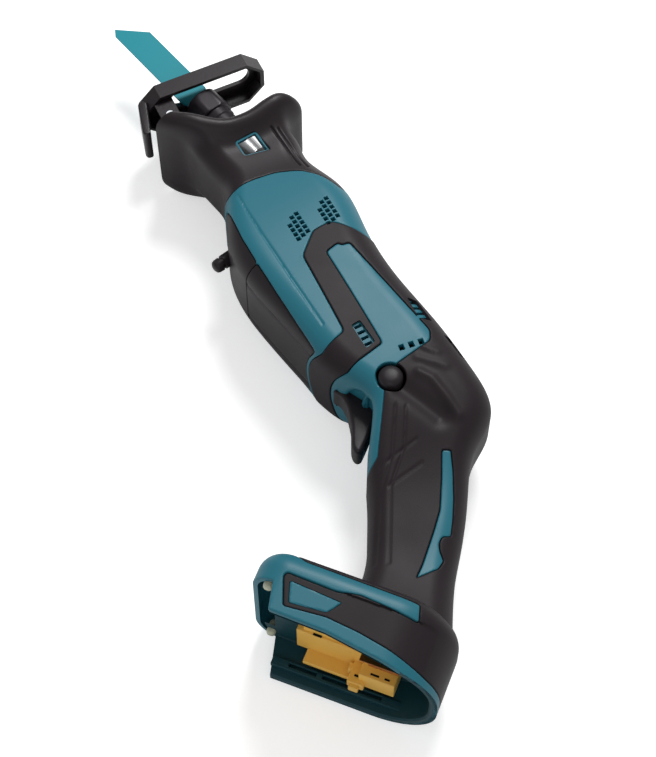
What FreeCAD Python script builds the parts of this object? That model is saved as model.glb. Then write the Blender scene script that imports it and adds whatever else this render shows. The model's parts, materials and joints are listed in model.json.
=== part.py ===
import FreeCAD, Part
import math
import os
import re
import Sketcher

# A compact cordless reciprocating saw, lying on its right side.
# Side frame: X runs rearward from the shoe, Y from the trigger side to the top, Z to the tool's left.
# Y = 0, Z = 0 is the blade's line, and the whole saw is then moved so that its box stands centred on the origin.
# All lengths are millimetres and all angles degrees.

Vector = FreeCAD.Vector
doc = FreeCAD.newDocument("reciprocating_saw")
sheet = doc.addObject("Spreadsheet::Sheet", "Dims")

# ---------------------------------------------------------------- driving dimensions

SIZES = {
    # from the side frame to the part's own frame
    "shift_x": -182.91, "shift_y": 75.45, "shift_z": 40,
    # walls of the clamshell and what covers it
    "skin": 1.2, "wall": 3.2, "liner": 4.6, "case_gap": 4.0, "case_inner": 6.6, "reach": 60,
    # battery foot, in its own frame: X along it from the chin, Y up, turned about Z
    "foot_x": 301.9, "foot_y": -167.1, "foot_turn": 29, "foot_long": 113, "foot_half": 40,
    "foot_deep": 43.5, "foot_round_front": 17, "foot_round_rear": 36, "foot_round_top": 12, "foot_roof": 20.5,
    "foot_wall": 5, "wire_room_top": 4, "wire_room_low": 17, "latch_x": 5.5,
    "latch_long": 12, "latch_half": 17, "latch_deep": 8,
    # blade and its drive
    "blade_wide": 19, "blade_thick": 1.3, "tang_wide": 12.6, "tang_gap": 0.12, "stroke_half": 6.5,
    "rod_r": 7.5, "rod_front": 30, "rod_rear": 150, "rod_y": 0,
    "bush_r": 10, "bush_long": 11, "bush_front_x": 86, "bush_rear_x": 109, "snout_r": 11.6, "fit": 0.05,
    "yoke_front": 130, "yoke_long": 26, "yoke_half": 15, "yoke_thick": 6, "yoke_slot": 9.6,
    "yoke_slot_half": 11.5,
    "sleeve_front": 32, "sleeve_long": 21, "sleeve_r": 11.6, "sleeve_bore": 7.8,
    # case of the gears
    "case_front": 119.5, "case_rear": 168, "case_plate": 3,
    # crank gear: a crown gear whose teeth face down to the motor's pinion
    "crank_x": 143, "crank_r": 18.6, "crank_bottom": -26, "crank_thick": 6, "crank_shaft_r": 5,
    "crown_teeth": 32, "crown_inner": 13.6, "crown_height": 1.9, "crown_tooth": 1.05,
    "crank_pin_r": 2.6, "crank_roller_r": 4.4, "open_gap": 0.4,
    "bearing_r": 10.5, "bearing_wide": 8, "bearing_top": -33,
    # motor
    "motor_y": -31, "pinion_teeth": 8, "pinion_r": 4.75, "pinion_root": 2.85, "pinion_front": 156.6,
    "pinion_long": 5, "pinion_tooth": 1.0, "shaft_r": 2.4, "shaft_rear": 250,
    "front_bearing_x": 164.8, "motor_bearing_r": 8.5, "motor_bearing_wide": 5.5,
    "fan_x": 171.5, "fan_r": 23, "fan_thick": 1.6, "fan_blade": 5, "fan_blades": 9, "fan_hub": 6,
    "can_front": 180, "can_long": 50, "can_r": 26, "can_wall": 2.4, "magnet_thick": 4.2, "magnet_gap": 12,
    "core_front": 187, "core_long": 36, "core_r": 18.6, "core_slots": 12, "core_slot": 1.7,
    "commutator_x": 233, "commutator_long": 8, "commutator_r": 8.5,
    "endbell_x": 231, "endbell_long": 14, "brush_wide": 6, "brush_long": 10,
    # shoe
    "shoe_face_x": 14, "shoe_lean": 14, "shoe_low": -34, "shoe_tall": 81, "shoe_half": 18,
    "shoe_corner": 11, "shoe_thick": 2.6, "shoe_rim": 10.5, "shoe_slot_low": -14, "shoe_slot_tall": 54,
    "shoe_slot_half": 7, "pivot_x": 30, "pivot_y": -26, "pivot_r": 2.5, "ear_thick": 3, "ear_half": 6, "ear_gap": 0.4,
    "bar_front": 24, "bar_long": 90, "bar_half": 10, "bar_thick": 6, "bar_gap": 0.2,
    # controls
    "release_x": 129, "release_top": -61.5, "release_end": -70, "release_r": 4.4, "release_stem_r": 3,
    "lock_x": 266, "lock_y": -50, "lock_r": 5.75, "lock_half": 35, "lock_well_r": 8.6, "lock_well_deep": 8,
    "trigger_half": 8.2, "trigger_gap": 0.8,
    # screws through both halves, driven from the right
    "screw_r": 1.6, "screw_head_r": 3.2, "screw_head": 2.6, "screw_long": 30, "screw_seat": -14,
    "boss_r": 4.6, "vent": 2.5, "vent_pitch": 3.7,
    # springs
    "wire_r": 0.45,
}

# Stations of the shell, front to rear: lowest point, top point, half width, lower and upper rounding
STATIONS = {
    "rim": (41, -43, 72, 38.5, 40, 17, 17),
    "cuff": (57, -42.5, 82, 33.5, 37, 18, 18),
    "throat": (77, -38, 97, 22.5, 29.5, 15, 15),
    "neck": (97, -38, 111, 16.5, 28, 15, 16),
    "collar": (112, -47.5, 124, 16.5, 30, 14, 17),
    "shoulder": (132, -61.5, 142, 18, 33, 16, 18),
    "waist": (176, -70.5, 178, 8.5, 35.5, 16, 20),
    "middle": (213, -71.5, 215, 1, 35.5, 15, 20),
    "guard": (242, -70, 250, -1, 34, 14, 20),
    "bend": (266, -66, 284, -5, 32, 13, 20),
    "hump": (281, -78, 311, -14, 28, 12, 18),
    "web": (295, -91, 323, -37, 23, 12, 15),
    "grip": (309, -102, 338, -55, 20, 13, 14),
    "palm": (323, -114, 355, -73, 19.5, 13, 14),
    "wrist": (336, -126, 372, -94, 20.5, 13, 14),
    "heel": (351, -147, 399, -121, 28, 14, 14),
}

# Side outlines, in the side frame unless the name says foot
OUTLINES = {
    "boot_side": [(20, -75), (108, -75), (108, -47), (109.5, -25), (114, -11), (122.5, 1), (130, 12),
                  (134, 35), (90, 60), (20, 60)],
    "saddle": [(28, -36), (47, -33), (59, -22), (66, -8), (68, 8), (67, 24), (65, 35), (28, 35)],
    "dark_side": [(187, 35), (187, 9), (180, 1), (167, -9), (164, -22), (174, -38), (228, -52),
                  (232, -84), (236, -105), (300, -150), (307, -164), (379, -125.5), (382, -130),
                  (325, -173), (336.5, -184), (372, -162), (425, -136), (430, 35)],
    "label_side": [(182, -11), (180, -26), (247, -40), (247, -81), (245, -125), (298, -125),
                   (305, -104), (299, -91), (273, -58), (267, -42), (263, -18), (255, -12), (235, -10.5)],
    "inlay_side": [(318, -57), (331, -61), (343, -72), (350, -80), (352, -84), (349, -87), (351, -91),
                   (360, -97), (367, -104), (370, -119), (362, -110), (350, -92), (330, -68)],
    "nose_side": [(106, -95), (110.5, -56), (117, -48.5), (137, -55), (159, -60), (157.5, -72), (155, -95)],
    "belly_side": [(156.5, -95), (158.5, -72), (160, -60.3), (182, -64), (205, -67), (224, -69.3),
                   (229, -73), (230, -95)],
    "window_side": [(83, -16), (84, -1), (98, -1), (94, -16)],
    "trigger_side": [(249.5, -60), (249.5, -78), (264, -77.5), (272, -84), (279, -90.5), (283.5, -89),
                     (280.5, -79), (270, -64), (263, -57)],
    "trigger_well": [(247.6, -98), (248.6, -57), (262, -52.5), (276, -62), (286, -75), (291, -90),
                     (291, -98)],
    "switch_side": [(277, -54), (296, -38), (309, -55), (291, -73)],
    "blade_side": [(-56, -6.6), (-51.5, -9.5), (18, -9.5), (27, -6.3), (46, -6.3), (46, 6.3), (27, 6.3),
                   (18, 9.5), (-40, 9.5)],
    "chin_cut_foot": [(-10, -20.5), (12, -20.5), (22, -60), (-10, -60)],
    "terminal_foot": [(31, -20.7), (87, -20.7), (87, -38.5), (65, -38.5), (65, -41.5), (57, -41.5),
                      (57, -36.5), (37, -29.5), (31, -26.5)],
}

# Screws through the shells, each as X, Y in the side frame
SCREWS = {"belly": (173, -62.5), "horn": (234, -63), "back": (303, -29), "hand": (322, -84), "palm": (350, -109),
          "chin": (331, -162), "heel": (389, -130)}

# Vent groups: first hole's centre, how far the rows lean, rows and columns
VENTS = {"lower_vent": (146, -24, 118, 5, 2), "upper_vent": (149, -1.5, 118, 5, 2)}


def write_sheet():
    """Put every dimension into a cell of its own, under its name."""
    cells = dict(SIZES)
    for name, values in STATIONS.items():
        keys = ("low_x", "low_y", "top_x", "top_y", "half", "round_low", "round_top")
        cells.update({f"{name}_{key}": value for key, value in zip(keys, values)})
    for name, points in list(OUTLINES.items()):
        for number, (x, y) in enumerate(points):
            cells[f"{name}_{number}_x"] = x
            cells[f"{name}_{number}_y"] = y
    for name, (x, y) in SCREWS.items():
        cells[f"screw_{name}_x"] = x
        cells[f"screw_{name}_y"] = y
    for row, (alias, value) in enumerate(cells.items(), 1):
        sheet.set(f"A{row}", str(value))
        sheet.setAlias(f"A{row}", alias)
    doc.recompute()
    return cells


CELLS = write_sheet()
NODES = {}


def bind(thing, prop, text):
    """Tie a property to an expression written with the sheet's names."""
    named = re.sub(r"[a-z]\w*", lambda m: "Dims." + m[0] if m[0] in CELLS else m[0], str(text))
    thing.setExpression(prop, named)


def add(kind, name):
    return doc.addObject(kind, name)


def node(label, thing):
    """Make this object the sub-part of that name."""
    thing.Label = label
    NODES[label] = thing
    return thing


# ---------------------------------------------------------------- primitives, placed in the side frame

TURNS = {"x": (Vector(0, 1, 0), 90), "y": (Vector(1, 0, 0), -90), "z": (Vector(0, 0, 1), 0)}


def stand(thing, x, y, z, axis="z"):
    direction, angle = TURNS[axis]
    thing.Placement.Rotation = FreeCAD.Rotation(direction, angle)
    bind(thing, "Placement.Base.x", f"{x} + shift_x")
    bind(thing, "Placement.Base.y", f"{y} + shift_y")
    bind(thing, "Placement.Base.z", f"{z} + shift_z")
    return thing


def box(name, x, y, z, long, tall, wide):
    thing = add("Part::Box", name)
    for prop, text in (("Length", long), ("Width", tall), ("Height", wide)):
        bind(thing, prop, text)
    return stand(thing, x, y, z)


def rod(name, axis, x, y, z, radius, long):
    thing = add("Part::Cylinder", name)
    bind(thing, "Radius", radius)
    bind(thing, "Height", long)
    return stand(thing, x, y, z, axis)


def cut(name, base, tool):
    thing = add("Part::Cut", name)
    thing.Base, thing.Tool = base, tool
    return thing


def common(name, first, second):
    thing = add("Part::Common", name)
    thing.Base, thing.Tool = first, second
    return thing


def fuse(name, *shapes):
    if len(shapes) == 1:
        return shapes[0]
    thing = add("Part::MultiFuse", name)
    thing.Shapes = list(shapes)
    return thing


def ring(name, axis, x, y, z, outer, inner, long):
    return cut(name, rod(name + "_full", axis, x, y, z, outer, long),
               rod(name + "_bore", axis, x, y, z, inner, long))


# ---------------------------------------------------------------- sketches

def rounded_outline(sketch):
    """A rectangle standing on the sketch's X axis, with a radius for its lower and its upper corners."""
    half, tall, low, top = 10.0, 30.0, 3.0, 4.0

    def line(x1, y1, x2, y2):
        return Part.LineSegment(Vector(x1, y1, 0), Vector(x2, y2, 0))

    def corner(x, y, radius, start):
        circle = Part.Circle(Vector(x, y, 0), Vector(0, 0, 1), radius)
        return Part.ArcOfCircle(circle, math.radians(start), math.radians(start + 90))

    sketch.addGeometry([
        line(-half + low, 0, half - low, 0), corner(half - low, low, low, 270),
        line(half, low, half, tall - top), corner(half - top, tall - top, top, 0),
        line(half - top, tall, -half + top, tall), corner(-half + top, tall - top, top, 90),
        line(-half, tall - top, -half, low), corner(-half + low, low, low, 180)], False)
    rule = Sketcher.Constraint
    sketch.addConstraint(
        [rule("Tangent", edge, 2, (edge + 1) % 8, 1) for edge in range(8)]
        + [rule("Horizontal", 4), rule("Vertical", 2), rule("Vertical", 6), rule("Equal", 1, 7),
           rule("Equal", 3, 5), rule("PointOnObject", 0, 1, -1), rule("Symmetric", 0, 1, 0, 2, -2)])
    sizes = {"half": rule("DistanceX", -1, 1, 2, 1, half), "tall": rule("DistanceY", 0, 1, 4, 1, tall),
             "low": rule("Radius", 1, low), "top": rule("Radius", 3, top)}
    for name, constraint in sizes.items():
        sketch.renameConstraint(sketch.addConstraint(constraint), name)
    return sketch


def outline_sketch(body, name, count):
    """A closed outline whose corners are held by the cells name_number_x and name_number_y."""
    sketch = body.newObject("Sketcher::SketchObject", name)
    plane = next(f for f in body.Origin.OriginFeatures if f.Role == "XY_Plane")
    sketch.AttachmentSupport = [(plane, "")]
    sketch.MapMode = "FlatFace"
    points = [Vector(CELLS[f"{name}_{i}_x"], CELLS[f"{name}_{i}_y"], 0) for i in range(count)]
    sketch.addGeometry([Part.LineSegment(points[i], points[(i + 1) % count]) for i in range(count)], False)
    sketch.addConstraint([Sketcher.Constraint("Coincident", i, 2, (i + 1) % count, 1) for i in range(count)])
    for i in range(count):
        for kind, axis in (("DistanceX", "x"), ("DistanceY", "y")):
            alias = f"{name}_{i}_{axis}"
            where = sketch.addConstraint(Sketcher.Constraint(kind, -1, 1, i, 1, float(CELLS[alias])))
            sketch.renameConstraint(where, f"corner_{i}_{axis}")
            bind(sketch, f"Constraints.corner_{i}_{axis}", alias)
    return sketch


def plate(name, low, high, rounding=0, on_foot=False):
    """A body padded from a side outline, between two heights across the tool."""
    body = add("PartDesign::Body", name + "_body")
    sketch = outline_sketch(body, name, len(OUTLINES[name]))
    bind(sketch, "AttachmentOffset.Base.z", low)
    pad = body.newObject("PartDesign::Pad", name + "_pad")
    pad.Profile = sketch
    bind(pad, "Length", f"{high} - ({low})")
    if rounding:
        doc.recompute()
        upright = [f"Edge{i}" for i, edge in enumerate(pad.Shape.Edges, 1)
                   if abs(edge.tangentAt(edge.FirstParameter).z) > 0.99]
        fillet = body.newObject("PartDesign::Fillet", name + "_rounds")
        fillet.Base = (pad, upright)
        bind(fillet, "Radius", rounding)
    place_body(body, on_foot)
    return body


def place_body(body, on_foot):
    if on_foot:
        turn_with_foot(body, 0, 0, 0, "foot_turn; 0; 0")
    else:
        stand(body, 0, 0, 0)


def turn_with_foot(thing, x, y, z, turns):
    """Place a thing at a point of the foot's own frame, X along the foot and Y up, with its yaw, pitch and roll."""
    sine, cosine = "sin(foot_turn * 1deg)", "cos(foot_turn * 1deg)"
    bind(thing, "Placement",
         "create(<<placement>>; create(<<vector>>;"
         f" foot_x + ({x}) * {cosine} - ({y}) * {sine} + shift_x;"
         f" foot_y + ({x}) * {sine} + ({y}) * {cosine} + shift_y; ({z}) + shift_z);"
         f" create(<<rotation>>; {turns}))")


# ---------------------------------------------------------------- the shell's form

def station_sketch(name, station, inset):
    """The shell's section at a station, drawn in by a wall's thickness."""
    sketch = rounded_outline(add("Sketcher::SketchObject", name))
    run = f"({station}_top_x - {station}_low_x)"
    rise = f"({station}_top_y - {station}_low_y)"
    tall = f"sqrt({run}^2 + {rise}^2)"
    bind(sketch, "Constraints.half", f"{station}_half - {inset}")
    bind(sketch, "Constraints.tall", f"{tall} - 2 * {inset}")
    bind(sketch, "Constraints.low", f"{station}_round_low - {inset}")
    bind(sketch, "Constraints.top", f"{station}_round_top - {inset}")
    bind(sketch, "Placement",
         f"create(<<placement>>; create(<<vector>>; {station}_low_x + {inset} * {run} / {tall} + shift_x;"
         f" {station}_low_y + {inset} * {rise} / {tall} + shift_y; shift_z);"
         f" create(<<rotation>>; -(atan({run} / {rise}) / 1deg); -90; 0))")
    return sketch


def shell_form(name, inset, first="rim", last="heel"):
    """The loft through the stations from first to last, drawn in by inset."""
    order = list(STATIONS)
    stations = order[order.index(first):order.index(last) + 1]
    form = add("Part::Loft", name)
    form.Sections = [station_sketch(f"{name}_{station}", station, inset) for station in stations]
    form.Solid = True
    return form


def foot_form(name, inset, front, top, bottom):
    """A rounded block in the foot's frame, from its chin to its round rear end, with rounded top edges."""
    plan = rounded_outline(add("Sketcher::SketchObject", name + "_plan"))
    bind(plan, "Constraints.half", f"foot_half - {inset}")
    bind(plan, "Constraints.tall", f"foot_long - {inset} - ({front})")
    bind(plan, "Constraints.low", f"foot_round_front - {inset}")
    bind(plan, "Constraints.top", f"foot_round_rear - {inset}")
    turn_with_foot(plan, front, top, 0, "180 + foot_turn; -90; 90")
    end = rounded_outline(add("Sketcher::SketchObject", name + "_end"))
    bind(end, "Constraints.half", f"foot_half - {inset}")
    bind(end, "Constraints.tall", f"{top} - ({bottom})")
    bind(end, "Constraints.top", f"foot_round_top - {inset}")
    turn_with_foot(end, -1, bottom, 0, "foot_turn; -90; 0")
    return common(name, extrude(name + "_from_above", plan, f"{top} - ({bottom})"),
                  extrude(name + "_from_end", end, "foot_long + 2"))


def extrude(name, sketch, long):
    """A sketch pushed back along its own normal."""
    block = add("Part::Extrusion", name)
    block.Base = sketch
    block.DirMode = "Normal"
    block.Solid = True
    block.Reversed = True
    bind(block, "LengthFwd", long)
    return block


# ---------------------------------------------------------------- clamshell, overmould and boot

def half_space(name, side):
    """Everything on one side of the saw's mid-plane."""
    low = "0" if side == "left" else "0 - reach"
    return box(name, -80, -260, low, 560, 360, "reach")


def slab(name, front, rear):
    return box(name, front, -120, "0 - reach", f"{rear} - ({front})", 200, "2 * reach")


def across(name, **options):
    """A side outline padded right through the saw."""
    return plate(name, "0 - reach", "reach", **options)


def screw_rods(name, radius, low, long):
    return [rod(f"{name}_{key}", "z", f"screw_{key}_x", f"screw_{key}_y", low, radius, long)
            for key in SCREWS]


def vent_holes():
    """Rows of small square holes, leaning with the shell."""
    holes = []
    for name, (x, y, lean, rows, columns) in VENTS.items():
        down_x, down_y = math.sin(math.radians(lean)), math.cos(math.radians(lean))
        for row in range(rows):
            for column in range(columns):
                px = f"{x} + vent_pitch * {row * down_x - column_step(column) * down_y:.4f}"
                py = f"{y} + vent_pitch * {row * down_y + column_step(column) * down_x:.4f}"
                holes.append(box(f"{name}_{row}_{column}", px, py, "0 - reach", "vent", "vent", "2 * reach"))
    return fuse("vent_holes", *holes)


def column_step(column):
    """Columns of vents stand a little further apart than rows."""
    return 1.25 * column


def hollow_foot():
    """The battery's cavity, the latch slot in its roof and the closed space above the roof."""
    cavity = foot_form("foot_cavity", "foot_wall", "0 - foot_round_front - 3", "0 - foot_roof", "0 - foot_deep - 17")
    wires = foot_form("foot_wires", "foot_wall + 1", "foot_round_front + 5", "0 - wire_room_top", "0 - wire_room_low")
    latch = foot_box("latch_slot", "latch_x", "0 - foot_roof", "0 - latch_half", "latch_long", "latch_deep",
                     "2 * latch_half")
    front = across("chin_cut_foot", on_foot=True)
    return fuse("foot_hollow", cavity, wires, latch, front)


def foot_box(name, x, y, z, long, tall, wide):
    """A box placed and turned with the foot; x, y and z are its low corner in the foot's frame."""
    thing = add("Part::Box", name)
    for prop, text in (("Length", long), ("Width", tall), ("Height", wide)):
        bind(thing, prop, text)
    turn_with_foot(thing, x, y, z, "foot_turn; 0; 0")
    return thing


def foot_rod(name, x, y, z, radius, long):
    """A cylinder standing along the foot's Y."""
    thing = add("Part::Cylinder", name)
    bind(thing, "Radius", radius)
    bind(thing, "Height", long)
    turn_with_foot(thing, x, y, z, "foot_turn; 0; -90")
    return thing


def shells():
    outer = fuse("outer_form", shell_form("outer_shell", 0), foot_form("outer_foot", 0, 0, 0, "0 - foot_deep"))
    bed = fuse("bed_form", shell_form("bed_shell", "skin"),
               foot_form("bed_foot", "skin", "skin", "0 - skin", "0 - foot_deep - 1"))
    inner = shell_form("inner_shell", "wall")
    liner = shell_form("liner_shell", "liner", "cuff", "shoulder")

    boot_zone = cut("boot_zone", across("boot_side"), across("saddle", rounding=4))
    behind_boot = across("boot_side")
    window = across("window_side")
    dark_zone = cut("dark_zone", cut("dark_less_label", across("dark_side"), across("label_side")),
                    across("inlay_side"))
    nose_zone, belly_zone = across("nose_side"), across("belly_side")
    holes = shell_holes(window)

    boot = cut("boot_walls", common("boot_part", outer, boot_zone), inner)
    node("front_boot", cut("boot_open", boot, window))

    body = cut("body_behind_boot", outer, behind_boot)
    under_covers = cut("cover_beds", fuse("cover_zones", dark_zone, nose_zone, belly_zone), bed)
    walls = cut("case_walls", cut("case_recessed", body, under_covers), inner)
    sleeve = cut("neck_sleeve", common("neck_part", inner, slab("neck_slab", 76, 118)), liner)
    posts = fuse("bosses", *screw_rods("boss", "boss_r", "0 - reach", "2 * reach"))
    bosses = common("bosses_in_shell", posts, bed)
    walls = cut("case_holed", fuse("case_with_sleeve", walls, sleeve, bosses), holes)

    dark = cut("dark_layer", cut("dark_skin", common("dark_part", body, dark_zone), bed), holes)
    for side in ("left", "right"):
        node(f"housing_{side}", common(f"housing_part_{side}", walls, half_space(f"space_case_{side}", side)))
        node(f"grip_{side}", common(f"grip_part_{side}", dark, half_space(f"space_grip_{side}", side)))
    for name, zone in (("nose_cover", nose_zone), ("belly_cover", belly_zone)):
        layer = cut(name + "_layer", common(name + "_part", body, zone), bed)
        node(name, cut(name + "_holed", layer, holes))


def shell_holes(window):
    """Everything that is open through the clamshell and its skins."""
    trigger_well = plate("trigger_well", "0 - trigger_half - trigger_gap", "trigger_half + trigger_gap")
    lock_well = rod("lock_well", "z", "lock_x", "lock_y", "0 - reach", "lock_r + 0.3", "2 * reach")
    pits = [rod(f"lock_pit_{low}", "z", "lock_x", "lock_y", text, "lock_well_r", 30)
            for low, text in (("left", "lock_half - lock_well_deep"), ("right", "lock_well_deep - lock_half - 30"))]
    release_well = rod("release_well", "y", "release_x", -85, 0, "release_stem_r + 0.3", 45)
    return fuse("shell_holes", hollow_foot(), window, trigger_well, lock_well, *pits, release_well, vent_holes(),
                *screw_rods("screw_hole", "screw_r + 0.05", "0 - reach", "reach + 17"),
                *screw_rods("screw_seat", "screw_head_r + 0.4", "0 - reach - 20", "reach + 20 + screw_seat"))


shells()


# ---------------------------------------------------------------- gears and drive

def spoke(name, axis, x, y, z, angle, start, long, thick, low, wide):
    """A bar that points away from an axis: start to start + long outward, thick across, wide along the axis."""
    bar = add("Part::Box", name)
    bind(bar, "Length", long)
    bind(bar, "Width", thick)
    bind(bar, "Height", wide)
    stood = {"x": "90; 0; 90", "y": "0; 0; -90"}[axis]
    bind(bar, "Placement",
         f"create(<<placement>>; create(<<vector>>; {x} + shift_x; {y} + shift_y; {z} + shift_z);"
         f" create(<<rotation>>; {stood}))"
         f" * create(<<placement>>; create(<<vector>>; 0; 0; 0); create(<<rotation>>; {angle}; 0; 0))"
         f" * create(<<placement>>; create(<<vector>>; {start}; 0 - {thick} / 2; {low});"
         " create(<<rotation>>; 0; 0; 0))")
    return bar


def gear_case():
    """Aluminium case round the gears, with the snout that carries the blade's rod and the shoe's channel."""
    block = common("case_block", shell_form("case_shell", "case_gap", "throat", "guard"),
                   slab("case_slab", "case_front", "case_rear"))
    room = common("case_room", shell_form("case_hollow", "case_inner", "throat", "guard"),
                  slab("case_room_slab", "case_front + case_plate", "case_rear - case_plate"))
    snout = rod("snout", "x", 84, "rod_y", 0, "snout_r", "case_front - 83")
    channel = box("channel", 86, "pivot_y - bar_thick / 2 - 2.4", -14, "case_front - 85", "bar_thick + 10", 28)
    post = rod("crank_post", "y", "crank_x", -62, 0, "bearing_r + 3", "bearing_top + 62")
    post = common("crank_post_inside", post, shell_form("post_hollow", "case_gap + 0.5", "throat", "guard"))
    nose = rod("front_bearing_boss", "x", 163, "motor_y", 0, "motor_bearing_r + 2.5", 5)
    solid = fuse("case_solid", cut("case_hollowed", block, room), snout, channel, post, nose)
    tools = [rod("rod_tunnel", "x", 80, "rod_y", 0, "rod_r + 0.7", "case_front + case_plate - 79"),
             rod("bush_seat_front", "x", 83, "rod_y", 0, "bush_r + 0.01", "bush_front_x + bush_long - 83"),
             rod("bush_seat_rear", "x", "bush_rear_x", "rod_y", 0, "bush_r + 0.01", "case_front + 4 - bush_rear_x"),
             box("bar_channel", 80, "pivot_y - bar_thick / 2 - bar_gap", "0 - bar_half - bar_gap",
                 "case_front - 80.5", "bar_thick + 2 * bar_gap", "2 * (bar_half + bar_gap)"),
             rod("crank_seat", "y", "crank_x", "bearing_top - bearing_wide", 0, "bearing_r + 0.01", 20),
             rod("crank_step", "y", "crank_x", "bearing_top - bearing_wide - 4", 0, "crank_shaft_r + 2", 12),
             rod("pinion_way", "x", 155, "motor_y", 0, "motor_bearing_r + 0.01", 20),
             rod("release_hole", "y", "release_x", -70, 0, "release_stem_r + 0.6", 22)]
    node("gear_case", cut("gear_case_cut", solid, fuse("case_tools", *tools)))


def bushes_and_seal():
    node("rod_bushes", fuse("bushes", *[
        ring(f"bush_{name}", "x", x, "rod_y", 0, "bush_r", "rod_r + fit", "bush_long")
        for name, x in (("front", "bush_front_x"), ("rear", "bush_rear_x"))]))
    node("felt_seal", ring("felt", "x", 83.4, "rod_y", 0, "bush_r - 0.1", "rod_r + fit", 2.4))


def blade_rod():
    """The rod that carries the blade, slotted at the front for its tang and yoked at the rear for the crank."""
    bar = rod("rod_bar", "x", "rod_front", "rod_y", 0, "rod_r", "rod_rear - rod_front")
    tang = box("tang_slot", "rod_front - 1", "0 - tang_wide / 2 - tang_gap", "0 - blade_thick / 2 - tang_gap", 17.2,
               "tang_wide + 2 * tang_gap", "blade_thick + 2 * tang_gap")
    yoke = box("yoke", "yoke_front", "rod_y - rod_r - 4", "0 - yoke_half", "yoke_long", "yoke_thick", "2 * yoke_half")
    slot = box("yoke_slot", "yoke_front + (yoke_long - yoke_slot) / 2", "rod_y - rod_r - 5", "0 - yoke_slot_half",
               "yoke_slot", 5, "2 * yoke_slot_half")
    cross = rod("blade_pin_hole", "z", 40, 0, -12, 1.55, 24)
    body = cut("rod_cut", fuse("rod_with_yoke", bar, yoke), fuse("rod_tools", tang, slot, cross))
    node("blade_rod", body)
    node("blade_pin", rod("pin", "z", 40, 0, -7.2, 1.5, 14.4))
    node("retaining_ring", ring("snap", "x", "sleeve_front + sleeve_long + 0.4", "rod_y", 0, "rod_r + 1.6", "rod_r",
                                1.4))


def saw_blade():
    """A stub blade with a clipped nose, a narrow tang and a tooth line along its lower edge."""
    strip = plate("blade_side", "0 - blade_thick / 2", "blade_thick / 2")
    hole = rod("tang_hole", "z", 40, 0, -2, 1.6, 4)
    node("saw_blade", cut("blade_cut", strip, hole))


def clamp_sleeve():
    """The turning sleeve that frees the blade, with grip flats and a wider collar behind."""
    barrel = rod("sleeve_barrel", "x", "sleeve_front", "rod_y", 0, "sleeve_r", "sleeve_long")
    collar = rod("sleeve_collar", "x", "sleeve_front + sleeve_long - 6", "rod_y", 0, "sleeve_r + 1.4", 4)
    bore = rod("sleeve_bore_hole", "x", "sleeve_front - 1", "rod_y", 0, "sleeve_bore", "sleeve_long + 2")
    flats = [spoke(f"sleeve_flat_{i}", "x", "sleeve_front - 1", "rod_y", 0, 30 + 60 * i, "sleeve_r - 1.2", 4, 5, 0,
                   13) for i in range(6)]
    solid, tools = fuse("sleeve_solid", barrel, collar), fuse("sleeve_tools", bore, *flats)
    node("clamp_sleeve", cut("sleeve_cut", solid, tools))


def coil_spring(name, axis, x, y, z, radius, tall, turns):
    """A round-wire coil that starts at a point and runs along an axis."""
    helix = add("Part::Helix", name + "_line")
    bind(helix, "Radius", radius)
    bind(helix, "Height", tall)
    bind(helix, "Pitch", f"({tall}) / {turns}")
    wire = add("Part::Circle", name + "_wire")
    bind(wire, "Radius", "wire_r")
    wire.Placement.Rotation = FreeCAD.Rotation(Vector(1, 0, 0), 90)
    bind(wire, "Placement.Base.x", radius)
    coil = add("Part::Sweep", name + "_coil")
    coil.Sections = [wire]
    doc.recompute([helix, wire])
    coil.Spine = (helix, [f"Edge{i + 1}" for i in range(len(helix.Shape.Edges))])
    coil.Solid = True
    coil.Frenet = True
    moved = add("Part::Compound", name)
    moved.Links = [coil]
    return stand(moved, x, y, z, axis)


def crank():
    """Crown gear with its shaft, and the pin and roller that drive the rod's yoke."""
    disc = rod("crank_disc", "y", "crank_x", "crank_bottom", 0, "crank_r", "crank_thick")
    teeth = [spoke(f"crown_tooth_{i}", "y", "crank_x", "crank_bottom - crown_height", 0,
                   f"({i} + 0.5) * 360 / crown_teeth", "crown_inner", "crank_r - crown_inner", "crown_tooth", 0,
                   "crown_height + 0.2") for i in range(CELLS["crown_teeth"])]
    node("crank_gear", fuse("crank_wheel", disc, *teeth))
    shaft_low = "bearing_top - bearing_wide - 2"
    node("crank_shaft", rod("crank_axle", "y", "crank_x", shaft_low, 0, "crank_shaft_r",
                            f"crank_bottom - ({shaft_low})"))
    top = "rod_y - rod_r - 4 - open_gap"
    low = "crank_bottom + crank_thick"
    node("crank_pin", rod("crank_stud", "y", "crank_x", low, "stroke_half", "crank_pin_r",
                          f"{top} - ({low})"))
    node("crank_roller", ring("roller", "y", "crank_x", f"{low} + 0.6", "stroke_half", "crank_roller_r",
                              "crank_pin_r + fit", f"{top} - ({low}) - 1.2"))
    node("crank_bearing", ring("crank_race", "y", "crank_x", "bearing_top - bearing_wide", 0, "bearing_r",
                               "crank_shaft_r + fit", "bearing_wide"))


# ---------------------------------------------------------------- motor

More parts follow.
